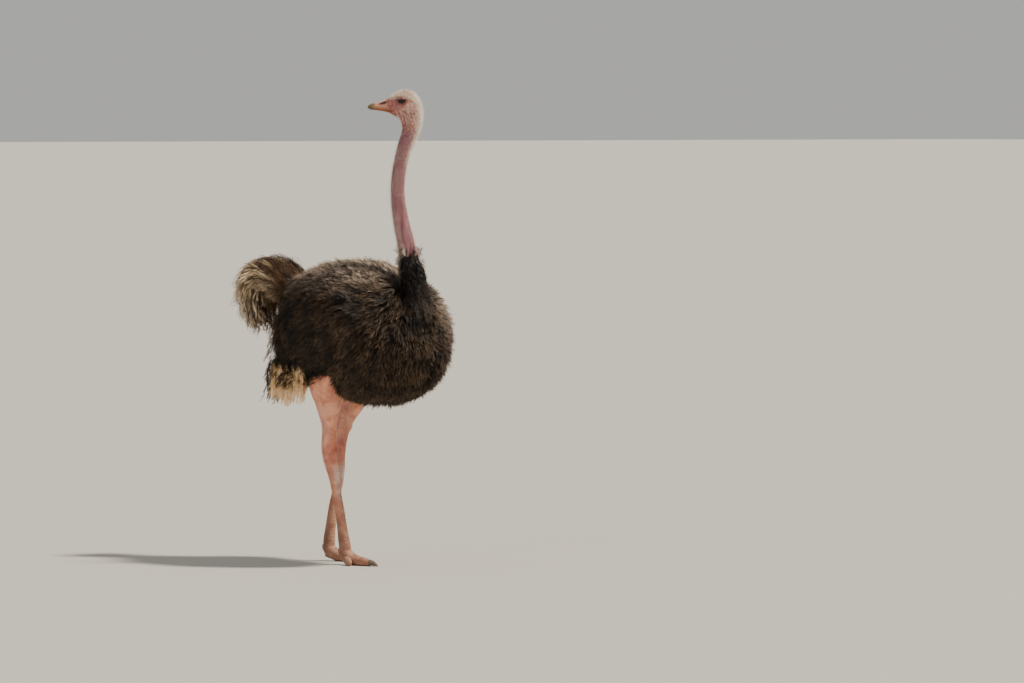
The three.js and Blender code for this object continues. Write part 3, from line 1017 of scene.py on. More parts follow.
def paint_skin(made):
    """Colours for the whole skin, and how scaly it is."""
    places = places_of(made)
    lateral, forward, height = from_bird(places)
    ahead, across, up = head_places(places)
    turn, from_groove = neck_turn(places)
    wave = np.sin(places @ [61.0, 43, 37] + 2 * np.sin(places @ [23.0, -31, 17]))

    # Neck
    paint = np.tile(rgb("#773e4d"), (len(places), 1))
    lay = painter(paint)
    lay(0.5 * hump(from_groove, 34 + 4 * wave, 24), "#8e5862")
    lay(0.8 * hump(from_groove, 2 * wave, 14) * ease(height, 1830, 1740), "#6f2f38")
    lay(0.4 * hump(from_groove, 62 + 5 * wave, 16), "#683a46")
    lay(0.35 * ease(height, 1520, 1440), "#93606b")

    # Head: pink face, beige crown and nape, orange strip along the mouth; the pale band down the back of the
    # neck is partly painted rim light
    in_face = ease(up, 1950, 2010)
    lay(in_face, "#98504a")
    mottle = np.sin(places @ [310.0, 270, 350] + 3 * np.sin(places @ [190.0, -230, 210]))
    lay(in_face * 0.12 * ease(mottle, 0.2, 0.9), "#d0a196")
    crown = ease(up - crown_line(ahead) + 3 * wave, -8, 8)
    pale = np.maximum(crown, nape_hair_and_rim_light(ahead, up + 8 * wave)) * ease(ahead, 172, 140)
    lay(0.62 * pale, "#cdae9c")
    cheek = hump(np.hypot((ahead - 62) / 1.2, up - 2078), 0, 32) * ease(np.abs(across), 15, 25)
    lay(0.45 * cheek, "#c9a08c")
    mouth = up - mouth_height(ahead)
    lay(0.8 * hump(mouth, -3, 9) * ease(ahead, 84, 104), "#96592f")
    lay(0.85 * hump(mouth, 0, 2.2) * ease(ahead, 90, 102), "#4a2419")
    # Painted shade in the hollow in front of the eye
    lores_shade = hump(np.hypot((ahead - 120) / 1.7, up - EYE_HEIGHT), 0, 14) * ease(np.abs(across), 12, 20)
    lay(0.7 * lores_shade, "#7b4b49")
    reach = np.hypot((ahead - EYE_FORWARD) / 1.5, up - EYE_HEIGHT - 1)
    # Painted shade round the eye, in its socket; the dark ring just round the opening, below, is the lid's
    # rim
    lay(0.8 * ease(reach, 22, 12) * in_face, "#6c4139")
    lay(0.9 * ease(reach, 12.6, 10.8) * in_face, "#241511")
    # Painted shade in a band under the brow, above the eye
    brow_shade = hump(up - 2119 - 0.1 * (ahead - EYE_FORWARD), 0, 13)
    brow_shade = brow_shade * hump(ahead, 98, 40) * ease(np.abs(across), 18, 28)
    lay(0.85 * brow_shade, "#6b4238")
    lay(0.4 * hump(np.hypot((ahead - 92) / 2.0, up - 2080), 0, 14) * in_face, "#a5615d")
    ear = np.hypot((ahead - EAR[0]) / 0.8, up - EAR[1])
    lay(0.5 * ease(ear, 19, 6) * in_face, "#8a5a4c")
    # Near-black painted shade inside the ear's opening
    lay(0.8 * ease(ear, 6.5, 3.0) * in_face, "#452620")

    # Legs
    leg = ease(height, 1000, 990)
    lay(leg, "#eca583")
    scaly = ease(height, 480, 400)
    half_wave = 0.5 + 0.5 * wave
    for side in LEG_LINES:
        line = np.array(leg_rows(side), float)[::-1].T
        leg_lateral, leg_forward, leg_depth = (np.interp(height, line[2], line[i]) for i in (0, 1, 4))
        front = (forward - leg_forward) / leg_depth
        mine = leg * ease(np.abs(lateral - leg_lateral), 130, 100)
        outer = np.abs(lateral) - np.abs(leg_lateral)
        vein = hump(front + 0.25 * np.sin(height * 0.021 + 2), 0.1, 0.1) * ease(height, 480, 540)
        second = hump(front - 0.2 * np.sin(height * 0.017), 0.55, 0.09) * ease(height, 500, 560)
        lay(0.55 * mine * np.maximum(vein, second) * ease(height, 780, 700), "#b9a3ae")
        lay(0.7 * mine * ease(front, 0.2, 0.75) * hump(height, 535, 105), "#c46452")
        plate = mine * ease(front, 0.4, 0.72)
        pale = ease(height, 470, 420) * (0.25 + 0.75 * ease(height, 200, 340))
        lay(0.75 * plate * pale, "#d9c6bb")
        scaly = scaly * (1 - 0.85 * plate)
        lay(0.5 * mine * hump(front, -0.1 + 0.1 * wave, 0.25) * ease(height, 700, 600), "#8f5c57")
        # Painted shade on the inner side of each lower leg, where the legs face each other
        lay(0.35 * mine * (outer < 0) * ease(height, 600, 450), "#7f5a50")
    lay(0.5 * leg * hump(height, 640, 150) * ease(mottle + wave, 0.2, 1.2), "#d5b3a6")
    lay(0.45 * leg * hump(height, 560, 160) * half_wave, "#ab6a60")
    lay(0.45 * leg * ease(height, 640, 760) * half_wave, "#c07c6e")
    lay(0.45 * leg * ease(height, 430, 300), "#cc9068")
    lay(0.8 * ease(height, 330, 90), "#8e6c55")

    # Under the feathers of the trunk, the wings and the root of the neck the skin is painted near-black:
    # painted shade, so that gaps between the plumes read dark
    trunk = ease(in_trunk(places), 1.12, 1.06)
    for side in MIRROR:
        trunk = np.maximum(trunk, ease(in_wing(side, places), 1.15, 1.08))
    edge = 1413 + 5 * np.sin(turn / 9) + 3 * wave
    hidden = np.maximum(trunk, ease(height - edge, 4, -4) * ease(height, 1010, 1040))
    lay(hidden, "#120d0a")
    colour(made, "paint", paint)
    for name, values in {"scaly": scaly * leg, "hidden": hidden, "in_face": in_face}.items():
        number(made, name, values)
        print(name, "on", (values > 0.5).sum(), "of", len(values), "points")


paint_skin(skin)

# %% [markdown]
# ## The finish of the skin
#
# The painted colours are only large areas. Noise at three sizes adds blotches, specks and the flesh of
# the face. Cells with dark edges make the scales of the shank, and finer ones the pores. The bumps go
# the same way: a fine one for the pores under a coarser one for the scales.

# %% Skin material
def skin_material():
    material = Material("skin", Specular_IOR_Level=0.35)
    places = material.places()
    paint = material.attribute("paint", output=0)
    scaly, hidden = material.attribute("scaly"), material.attribute("hidden")
    blotch = material.noise(places, 26, 4)
    speck = material.noise(places, 210, 3)
    base = material.mix(material.clamp(blotch, 0.42, 0.62) * 0.5, paint, rgb("#b9706c"), "MULTIPLY")
    base = material.mix(material.clamp(speck, 0.55, 0.75) * 0.35, base, rgb("#e2bfb2"))
    flesh = material.noise(places, 95, 4)
    in_face = material.attribute("in_face")
    base = material.mix(material.clamp(flesh, 0.52, 0.66) * in_face * 0.45, base, rgb("#cda08f"))
    base = material.mix(material.clamp(flesh, 0.47, 0.33) * in_face * 0.55, base, rgb("#7c4245"))
    edges = material.cells(places, 190)
    cracks = material.clamp(edges, 0.09, 0.0) * scaly
    base = material.mix(cracks * 0.55, base, rgb("#6d4a42"))
    # Near-black painted shade on the skin under the plumage
    base = material.mix(hidden, base, rgb("#1c1511"))
    pores = material.cells(places, 420, "F1")
    fine = material.bump(material.noise(places, 330, 4) + pores * 0.6, 0.35, 0.0008)
    scales = material.bump(material.clamp(edges, 0.0, 0.2) * scaly, 0.7, 0.0012, fine)
    rough = 0.62 - 0.14 * material.clamp(blotch, 0.35, 0.7) + 0.35 * hidden
    return material.finish(Base_Color=base, Roughness=rough, Normal=scales)


skin.data.materials.clear()
skin.data.materials.append(skin_material())
print("skin material has", len(skin.data.materials[0].node_tree.nodes), "nodes")

# %% [markdown]
# ## The finish of bill, claws and eyes
#
# Horn is smoother than skin, with a grain that runs along it. The colours of the bill follow its
# shape, so they are painted on its points. The iris is nearly black, and the wet eye gets its shine
# from a coat.

# %% Horn and eyes
def horn_material():
    material = Material("bill_horn", Specular_IOR_Level=0.45)
    paint = material.attribute("paint", output=0)
    grain = material.noise(material.places((1, 1, 2.5)), 160, 4)
    base = material.mix(material.clamp(grain, 0.35, 0.7) * 0.5, paint, rgb("#a98a6c"), "MULTIPLY")
    bumps = material.bump(grain, 0.25, 0.0006)
    return material.finish(Base_Color=base, Roughness=0.36 + 0.25 * grain, Normal=bumps)


def claw_material():
    material = Material("claw_horn", Specular_IOR_Level=0.4)
    grain = material.noise(material.places((1, 0.35, 1)), 140, 4)
    base = material.mix(material.clamp(grain, 0.35, 0.65), rgb("#3a3029"), rgb("#7c6a58"))
    bumps = material.bump(grain, 0.4, 0.0006)
    return material.finish(Base_Color=base, Roughness=0.45 + 0.2 * grain, Normal=bumps)


def eye_material():
    """A very dark brown iris round a black pupil, wet and shining."""
    material = Material("eye", Coat_Weight=0.45, Coat_Roughness=0.03, Roughness=0.4, Specular_IOR_Level=0.1)
    off = material.attribute("off_axis")
    streaks = material.noise(material.places(), 420, 2)
    iris = material.mix(streaks, rgb("#1c0e07"), rgb("#3b200f"))
    rim = material.mix(material.clamp(off, 0.62, 0.72), iris, rgb("#120b08"))
    base = material.mix(material.clamp(off, 0.27, 0.31), rgb("#040303"), rim)
    return material.finish(Base_Color=base)


def paint_bill(made, upper):
    """Pink at the root, orange brown along the sides, olive at the tip, with a painted highlight along the
    ridge of the upper half and dark painted shade in the nostrils.
    """
    ahead, across, up = head_places(places_of(made))
    paint = np.tile(rgb("#a56a63"), (len(ahead), 1))
    lay = painter(paint)
    low = up - np.interp(ahead, [124, 244], [2060, 2077])
    lay(0.8 * ease(ahead, 145, 185), "#b98868")
    lay(0.85 * ease(low, 17, 5) * ease(ahead, 120, 140), "#96592f")
    # Painted highlight along the ridge of the upper half
    ridge = hump(np.abs(across), 0, 15) * ease(ahead, 146, 170) * upper
    lay(0.8 * ridge, "#dcc0b2")
    tip = ease(ahead + 0.25 * (up - 2080) + 2 * np.sin(across * 0.6), 203, 228)
    lay(0.9 * tip, "#5f5630")
    if upper:
        mouth, top, width = (np.interp(ahead, *np.array(UPPER_BILL)[:, [0, i]].T) for i in (1, 2, 3))
        sideways, upright = np.abs(across) / width, np.clip(up - mouth, 0, None) / (top - mouth)
        from_ridge = np.arctan2(power(sideways, 1 / BILL_ROUND), power(upright, 1 / BILL_ARCH))
        # Painted shade inside the nostril's slit, near-black, with a darker margin round it
        slit = np.hypot((ahead - NOSTRIL) / 3.5, (from_ridge - 0.76) * 24)
        lay(0.6 * ease(slit, 8.0, 5), "#6a3a34")
        lay(0.97 * ease(slit, 5.8, 4.6), "#140a08")
    colour(made, "paint", paint)


paint_bill(bill_upper, True)
paint_bill(bill_lower, False)

# %% [markdown]
# ## Feathers
#
# An ostrich's plumes are soft because their barbs don't hook together. Each plume here is a thin shaft
# with narrow barbs on both sides, and neighbouring barbs lean together into locks. A barb is a bent
# ribbon of triangles that ends in a point. Thousands of ribbons are alike but for their places, so
# they are worked out together as arrays and become one mesh. Each keeps two numbers: `tone`, which
# differs from lock to lock, and `tip`, which runs out along the barbs. For baking, each ribbon has a
# small patch of its own in the UV map, at its root's place on the skin.

# %% Ribbons
PATCH = 0.003


def triangle_mesh(name, places, triangles, patches, **numbers):
    """One object from arrays of places and triangles, with UV places and numbers for each point."""
    mesh = bpy.data.meshes.new(name)
    mesh.vertices.add(len(places))
    mesh.vertices.foreach_set("co", places.astype(np.float32).ravel())
    mesh.loops.add(triangles.size)
    mesh.loops.foreach_set("vertex_index", triangles.astype(np.int32).ravel())
    mesh.polygons.add(len(triangles))
    mesh.polygons.foreach_set("loop_start", np.arange(0, triangles.size, 3, dtype=np.int32))
    mesh.update(calc_edges=True)
    mesh.shade_smooth()
    bake = mesh.uv_layers.new(name="OFBake")
    bake.data.foreach_set("uv", patches[triangles.ravel()].astype(np.float32).ravel())
    made = put_in_scene(name, mesh)
    for attribute, values in numbers.items():
        number(made, attribute, values)
    print(name, "triangles:", len(triangles))
    return made


def ribbon_mesh(name, groups):
    """One object from groups of ribbons. Each group is lines of points, the direction across them,
    half widths along them, UV places, tones, and how far towards a tip each point lies."""
    parts = []
    start = 0
    for line, across, half_widths, patches, tones, tips in groups:
        count, points = line.shape[:2]
        edge = across[:, None] * np.broadcast_to(half_widths, (count, points))[:, :-1, None]
        pairs = np.stack([line[:, :-1] - edge, line[:, :-1] + edge], 2).reshape(count, -1, 3)
        places = np.concatenate([pairs, line[:, -1:]], 1).reshape(-1, 3)
        low = 2 * np.arange(points - 2)[:, None]
        quads = np.concatenate([low + [0, 1, 3], low + [0, 3, 2]])
        last = 2 * (points - 2)
        one = np.concatenate([quads, [[last, last + 1, last + 2]]])
        per_ribbon = 2 * points - 1
        triangles = (start + np.arange(count)[:, None, None] * per_ribbon + one).reshape(-1, 3)
        tips = np.broadcast_to(tips, (count, points))
        tips = np.concatenate([np.repeat(tips[:, :-1], 2, 1), tips[:, -1:]], 1)
        sides = np.broadcast_to(np.append(np.tile([0.0, 1.0], points - 1), 0.5), tips.shape)
        spots = (patches[:, None] + PATCH * (np.stack([sides, tips], -1) - 0.5)).reshape(-1, 2)
        parts.append((places, triangles, spots, np.repeat(tones, per_ribbon), tips.ravel()))
        start += count * per_ribbon
    places, triangles, spots, tones, tips = (np.concatenate(arrays) for arrays in zip(*parts))
    return triangle_mesh(name, places, triangles, spots, tone=tones, tip=tips)


def column(value, count):
    """One number for each plume, as a column."""
    return np.broadcast_to(np.asarray(value, float), (count,))[:, None]


def flattened(places, start=0.295, most=0.336):
    """Places drawn in sideways where the bird is widest, as the plumes lie flatter on the wings."""
    width = np.abs(places[..., 0])
    drawn = start + (most - start) * np.tanh(np.maximum(width - start, 0) / (most - start))
    sideways = np.where(width > start, drawn, width) * np.sign(places[..., 0])
    return np.concatenate([sideways[..., None], places[..., 1:]], -1)


# %% [markdown]
# ## A plume along a spine
#
# A plume's spine is a row of points. Barbs leave it on both sides at an angle that closes towards the
# tip, bend forward and hang. `lock` neighbours share one toss and are drawn together by `gather`, and
# that is what turns a comb of barbs into soft strands. All plumes of a piece are made at once: the
# arrays run over plumes, then barbs, then the points along a barb.

# %% Plumes
def plume_groups(spines, outward, patches, seed, width, barbs, ruffle, thick, lock=4, spread=(1.0, 0.4),
                 hang=0.1, gather=0.7, segments=2, shaft=0.9, from_root=0.08, tones=None):
    """The ribbons of plumes along given spines: the barbs on both sides, and the shafts."""
    random = np.random.default_rng(seed)
    count, steps = spines.shape[:2]
    along = unit(np.gradient(spines, axis=1))
    sideways = unit(np.cross(outward, along))
    out = np.cross(along, sideways)
    place = np.linspace(from_root, 0.985, barbs)
    row = place * (steps - 1)
    first = np.minimum(row.astype(int), steps - 2)
    share = (row - first)[None, :, None]
    whole = (spines, along, sideways, out)
    base, ahead, off, out_at = (rows[:, first] * (1 - share) + rows[:, first + 1] * share for rows in whole)
    outline = (0.45 + 0.55 * np.sin(np.pi * np.clip(place + 0.05, 0, 1) ** 0.8)) * (1 - 0.25 * place**3)
    locks = np.arange(barbs) // lock
    lock_count = locks[-1] + 1
    plume_tone = random.uniform(0, 1, count) if tones is None else tones
    groups = []
    for mirror in (-1, 1):
        size = width * outline[:, None] * random.uniform(0.8, 1.15, (count, barbs, 1))
        turn = spread[0] + (spread[1] - spread[0]) * place
        turn = (turn * random.uniform(0.8, 1.2, (count, barbs)))[..., None]
        leave = ahead * np.cos(turn) + off * mirror * np.sin(turn)
        leave = leave + out_at * random.normal(0.05, 0.12, (count, barbs, 1))
        later = unit(ahead * 0.8 + leave * 0.45 - out_at * 0.12 - UP * hang)
        half = base + leave * size * 0.52
        tip = half + later * size * 0.62
        toss = random.normal(0, ruffle, (count, lock_count, 3))
        toss += out_at[:, ::lock] * np.abs(random.normal(0, ruffle, (count, lock_count, 1)))
        toss = toss[:, locks]
        gathered = np.stack([tip[:, locks == one].mean(1) for one in range(lock_count)], 1)[:, locks]
        tip = tip + (gathered - tip) * gather + toss
        half = half + toss * 0.4
        bend = np.linspace(0, 1, segments + 1)[:, None]
        line = base[:, :, None] * (1 - bend) ** 2 + half[:, :, None] * 2 * bend * (1 - bend)
        line = line + tip[:, :, None] * bend**2
        face = out_at + random.normal(0, 0.35, (count, barbs, 3))
        across = unit(np.cross(tip - base, face))
        lock_tone = random.uniform(0, 1, (count, lock_count))[:, locks]
        tone = 0.7 * plume_tone[:, None] + 0.3 * lock_tone
        shift = random.uniform(-PATCH, PATCH, (count, lock_count, 2))[:, locks]
        at = np.clip(patches[:, None] + shift, 0.003, 0.997)
        tips = np.linspace(0, 1, segments + 1) * (0.35 + 0.65 * place[:, None])
        tips = np.broadcast_to(tips + 0.25 * place[:, None] * (1 - tips), (count, barbs, segments + 1))
        narrow = np.linspace(1, 0.7, segments + 1) * thick * MM
        groups.append((line.reshape(-1, segments + 1, 3), across.reshape(-1, 3), narrow, at.reshape(-1, 2),
                       tone.ravel(), tips.reshape(-1, segments + 1)))
    narrow, tips = np.linspace(shaft, 0.3, steps) * MM, np.linspace(0, 1, steps) * 0.5
    groups.append((spines, sideways[:, steps // 2], narrow, patches, plume_tone, tips))
    return [(flattened(line), *others) for line, *others in groups]


# %% [markdown]
# ## Where plumes grow
#
# `scatter` spreads places evenly over a surface, with a little disorder. `spines_on` then lets a spine
# leave the skin at each of them: it rises, bends back along the lie of the plumage and sags. `lie` and
# `waves` give that lie: a direction along the surface, wandering slowly from place to place.

# %% Spines over a surface
def spines_on(roots, normals, flows, seed, length, rise, bend, curl, droop=0.1, steps=7):
    """Spines that leave a surface at a slope, bend back along it and sag: curl turns them sideways."""
    random = np.random.default_rng(seed)
    count = len(roots)
    length = column(length, count) * random.uniform(0.75, 1.15, (count, 1))
    rise = column(rise, count) * random.uniform(0.6, 1.15, (count, 1))
    sides = np.cross(normals, flows)
    t = (np.arange(steps - 1) + 0.5) / (steps - 1)
    slope = 2 * rise / length * (1 - t) - length / bend * t
    swing = random.normal(0, 1, (count, 1)) * curl * t**1.5
    course = flows[:, None] + normals[:, None] * slope[..., None] + sides[:, None] * swing[..., None]
    course = unit(course - UP * droop * (t**2)[:, None]) * (length / (steps - 1))[..., None]
    spines = np.concatenate([roots[:, None], roots[:, None] + np.cumsum(course, 1)], 1)
    return spines, np.broadcast_to(normals[:, None], spines.shape)


def within(values):
    """Values stretched to lie from 0.02 to 0.98."""
    low, high = values.min(0), values.max(0)
    return 0.02 + 0.96 * (values - low) / (high - low)


def scatter(surface, spacing, seed):
    """Jittered places, evenly apart, over a surface given by u round and v along."""
    random = np.random.default_rng(seed)
    v = np.linspace(0.004, 0.996, 400)
    ring = np.linspace(0, 1, 73)
    around = surface(np.tile(ring, len(v)), np.repeat(v, len(ring))).reshape(len(v), len(ring), 3)
    reach = np.linalg.norm(np.diff(around, axis=0), axis=2).max(1)
    travelled = np.concatenate([[0], np.cumsum(reach)])
    us, vs = [], []
    for stop in np.arange(spacing / 2, travelled[-1], spacing):
        row = int(np.argmin(np.abs(travelled - stop)))
        total = np.concatenate([[0], np.cumsum(np.linalg.norm(np.diff(around[row], axis=0), axis=1))])
        count = max(int(total[-1] / spacing), 3)
        stops = (np.arange(count) + random.uniform(-0.45, 0.45, count) + random.uniform()) / count % 1.0
        us.append(np.interp(stops * total[-1], total, ring))
        moved = np.clip(stop + random.uniform(-0.45, 0.45, count) * spacing, 0, travelled[-1])
        vs.append(np.interp(moved, travelled, v))
    return np.concatenate(us), np.concatenate(vs)


def outward_normals(surface, u, v):
    """Directions straight out of a surface."""
    step = 1e-3
    round_way = surface(u + step, v) - surface(u - step, v)
    long_way = surface(u, np.clip(v + step, 0, 1)) - surface(u, np.clip(v - step, 0, 1))
    normals = unit(np.cross(round_way, long_way))
    middle = (surface(np.zeros(len(v)), v) + surface(np.full(len(v), 0.5), v)) / 2
    return normals * np.sign((normals * (surface(u, v) - middle)).sum(-1, keepdims=True))


def lie(normals, direction):
    """A direction turned to run along the surface."""
    return unit(direction - normals * (direction * normals).sum(-1, keepdims=True))


def waves(places, reach):
    """Slow wandering directions, so that neighbouring plumes lean the same way."""
    turns = np.array([[21.0, -33, 19], [-27.0, 18, 25], [17.0, 29, -22]])
    return np.sin(places @ turns.T + np.sin(places @ turns[::-1].T * 0.7) * 1.5) * reach


# %% [markdown]
# ## The lie of the plumage
#
# On the back the plumes point to the tail. Down the sides they turn more and more towards the ground,
# and on the breast they hang. The wings are folded against the body: their plumes are the longest, and
# they curve backwards and down over the flank.

# %% Body plumage
def forward_of(places):
    """How far forward places are, in millimetres."""
    return from_bird(places)[1]


def body_flow(places, normals):
    """Where the plumes point on the body."""
    forward = forward_of(places)
    breast = ease(forward, 180, 420)
    top = ease(normals[:, 2], 0.2, 0.85)
    rear = ease(forward, -250, -430)
    outwards = np.sign(places[:, 0]) * 0.2 * top
    back = 1.0 - 0.75 * breast - 0.5 * rear + 0.8 * by_the_wing(places)
    down = 0.75 * (1 - top) + 0.5 * breast + 0.8 * rear
    return lie(normals, np.stack([outwards, back, -down], -1) + waves(places, 0.3))


def wing_flow(places, normals):
    """Where the plumes point on a folded wing."""
    forward = forward_of(places)
    down = 0.3 + 0.95 * ease(forward, 60, -320) + 0.3 * ease(places[:, 2], 1.18, 0.9)
    back = 1.0 - 0.9 * ease(forward, -60, -300)
    return lie(normals, np.stack([0 * down, back, -down], -1) + waves(places, 0.25))


def plumage(name, surface, u, v, flow, seed, spine, **settings):
    """Grows plumes at places on a surface: spine holds what shapes the spines."""
    roots, normals = surface(u, v), outward_normals(surface, u, v)
    shaped = {key: value(roots, normals) if callable(value) else value for key, value in spine.items()}
    spines, outward = spines_on(roots, normals, flow(roots, normals), seed, **shaped)
    print(name, "plumes:", len(roots))
    patches = within(np.stack([u, v], -1))
    return ribbon_mesh(name, plume_groups(spines, outward, patches, seed + 1, **settings))


def in_neck_base(places, reach=0.034):
    """True inside the root of the neck, or within reach of the line along its middle."""
    ends = smooth_rows(NECK_AND_HEAD, np.linspace(0, 0.3, 60))
    middle = (ends[:, :3] + ends[:, 3:6]) / 2
    return np.linalg.norm(places[:, None] - middle[None], axis=-1).min(1) < reach


def by_the_wing(places):
    """1 just ahead of a wing and above it, where the plumes of the body lie over its edge."""
    lateral, back, height = places.T
    near = np.stack([np.abs(lateral) - 0.25, (back + 0.40) * 0.7, (height - 1.12) * 0.6], -1)
    return ease(np.linalg.norm(near, axis=1), 0.16, 0.05)


def plume_length(places, normals):
    """Short on the breast and belly, long on the back, the rump and ahead of the wings."""
    short = 0.055 * ease(forward_of(places), 180, 430) + 0.03 * ease(normals[:, 2], -0.3, -0.8)
    return 0.15 - short + 0.05 * by_the_wing(places)


def plume_rise(places, normals):
    """How far out the plumes reach: furthest on the back and over the edges of the wings."""
    top = 0.012 * ease(normals[:, 2], 0.3, 0.9) - 0.004 * ease(normals[:, 2], -0.2, -0.8)
    return 0.026 + top + 0.02 * by_the_wing(places)


def wing_length(places, normals):
    """Longest over the rear of the wing, and short at its lower edge, where the white plumes hang."""
    rear, height = ease(forward_of(places), -40, -240), places[:, 2]
    return 0.155 + 0.04 * rear * ease(height, 1.16, 1.06) - 0.06 * rear * ease(height, 1.02, 0.9)


def wing_rise(places, normals):
    """How far out the plumes of the wing reach: least at the rear edge."""
    return 0.019 - 0.011 * ease(forward_of(places), -100, -250)


# %% [markdown]
# ## Plumes on the body and the wings
#
# The body is covered in one scatter of places, sorted into breast, back and flanks so that no mesh
# gets too big. More are added round the root of the neck, where the plumes part and the skin would
# show. None grow under the wings or inside the neck. Each wing has its own scatter.

# %% Body and wings
BODY_SPINE = dict(length=plume_length, rise=plume_rise, bend=0.3, droop=0.12, curl=0.4)
WING_SPINE = dict(length=wing_length, rise=wing_rise, bend=0.26, droop=0.3, curl=0.25)
BODY_BARBS = dict(width=0.031, barbs=20, lock=5, spread=(0.75, 0.3), ruffle=0.008, gather=0.8, thick=0.75)
WING_BARBS = BODY_BARBS | dict(width=0.032, spread=(0.7, 0.25), thick=0.8, hang=0.2)
plumes = {}
u, v = scatter(trunk_surface, 0.0178, 11)
more_u, more_v = scatter(trunk_surface, 0.0195, 12)
parting = in_neck_base(trunk_surface(more_u, more_v), 0.115)
u, v = np.append(u, more_u[parting]), np.append(v, more_v[parting])
roots = trunk_surface(u, v)
free = ~in_neck_base(roots)
for side in MIRROR:
    free &= (in_wing(side, roots) > 0.8) | (forward_of(roots) > 260)
upward = outward_normals(trunk_surface, u, v)[:, 2]
breast = free & (forward_of(roots) > 190)
back = free & ~breast & (upward > 0.45)
flank = free & ~breast & ~back
regions = {
    "coat_breast": breast,
    "coat_back": back,
    "coat_flank_left": flank & (roots[:, 0] > 0),
    "coat_flank_right": flank & (roots[:, 0] <= 0),
}
for seed, (name, chosen) in enumerate(regions.items()):
    plumes[name] = plumage(name, trunk_surface, u[chosen], v[chosen], body_flow, 20 + seed,
                           BODY_SPINE, **BODY_BARBS)

for side in MIRROR:
    u, v = scatter(wing_surface(side), 0.0155, 31 + MIRROR[side])
    roots = wing_surface(side)(u, v)
    chosen = (in_trunk(roots) > 0.9) & (roots[:, 0] * MIRROR[side] > 0.2)
    name = "coat_wing_" + side
    plumes[name] = plumage(name, wing_surface(side), u[chosen], v[chosen], wing_flow, 33 + MIRROR[side],
                           WING_SPINE, **WING_BARBS)

# %% [markdown]
# ## The root of the neck
#
# The black feathers end on the neck in a ragged line. They are short there and stand out a little, and
# a few of the topmost point upwards. Lower down they get longer and run into the breast and the back.

# %% Feathers at the root of the neck
def neck_base_surface(u, v):
    return neck_and_head(u, 0.02 + 0.21 * v)


def neck_flow(places, normals):
    stray = np.sin(places @ [911.0, 733, 577]) > 0.3
    upwards = 2.2 * (stray * ease(places[:, 2], 1.385, 1.400))[:, None] * UP
    return lie(normals, np.array([0, 0.1, -1.0]) + upwards + waves(places * 2, 0.3))


def neck_length(places, normals):
    """Longer where the neck runs into the breast and the back."""
    return 0.052 + 0.05 * ease(places[:, 2], 1.34, 1.24)


def collar_rise(places, normals):
    """The topmost feathers of the collar stand out from the neck."""
    return 0.015 + 0.009 * ease(places[:, 2], 1.396, 1.416)


u, v = scatter(neck_base_surface, 0.0092, 41)
roots = neck_base_surface(u, v)
ragged = 1.416 + 0.006 * np.sin(u * 40) + np.random.default_rng(43).uniform(-0.012, 0.006, len(u))
chosen = (in_trunk(roots) > 0.86) & (roots[:, 2] < ragged)
NECK_SPINE = dict(length=neck_length, rise=collar_rise, bend=2.0, curl=0.3)
plumes["coat_neck"] = plumage("coat_neck", neck_base_surface, u[chosen], v[chosen], neck_flow, 42, NECK_SPINE,
                              width=0.016, barbs=12, ruffle=0.0035, thick=0.7)

# %% [markdown]
# ## The tail
#
# The tail is a bunch of long plumes that rise from the rump, arch over and droop. Their spines run side
# by side through the cross-sections of one limb, each to a length of its own.

# %% Tail
TAIL = [
    # lateral, forward, height, half width, half depth
    [0, -360, 1180, 80, 60],
    [-12, -470, 1246, 112, 72],
    [-32, -570, 1318, 134, 84],
    [-50, -652, 1290, 150, 92],
    [-52, -678, 1196, 134, 82],
    [-46, -664, 1106, 112, 62],
    [-38, -650, 1050, 62, 32],
]


def bunch(rows, count, seed, steps=12):
    """Spines side by side through the cross-sections of a limb, each to its own length."""
    random = np.random.default_rng(seed)
    turn, away = random.uniform(0, 2 * np.pi, count), np.sqrt(random.uniform(0.02, 1, count)) * 0.9
    reach = random.uniform(0.5, 0.97, count)
    t = np.linspace(0, 1, steps)
    at = (reach[:, None] * t).ravel()
    centre, wide, deep, width, depth = tube_frame(rows, at, LEFT)
    turn = np.repeat(turn, steps) + np.tile(t, count) * np.repeat(random.normal(0, 0.25, count), steps)
    away = np.repeat(away, steps)
    spines = centre + wide * width * (away * np.cos(turn))[:, None]
    spines = spines + deep * depth * (away * np.sin(turn))[:, None]
    outward = unit(spines - centre + 1e-4).reshape(count, steps, 3)
    patches = within(np.stack([turn[::steps] % (2 * np.pi), away[::steps]], -1))
    return spines.reshape(count, steps, 3), outward, patches


spines, outward, patches = bunch(TAIL, 290, 51)
groups = plume_groups(spines, outward, patches, 52, width=0.062, barbs=44, lock=6, hang=0.9, ruffle=0.012,
                      gather=0.85, segments=3, shaft=1.3, thick=1.0, from_root=0.06)
plumes["coat_tail"] = ribbon_mesh("coat_tail", groups)

# %% [markdown]
# ## The white plumes of the wings
#
# Below each folded wing hangs a fan of white plumes that opens downwards, and its tips curl. The
# rearmost plumes are dark, so each spine brings a tone of its own.

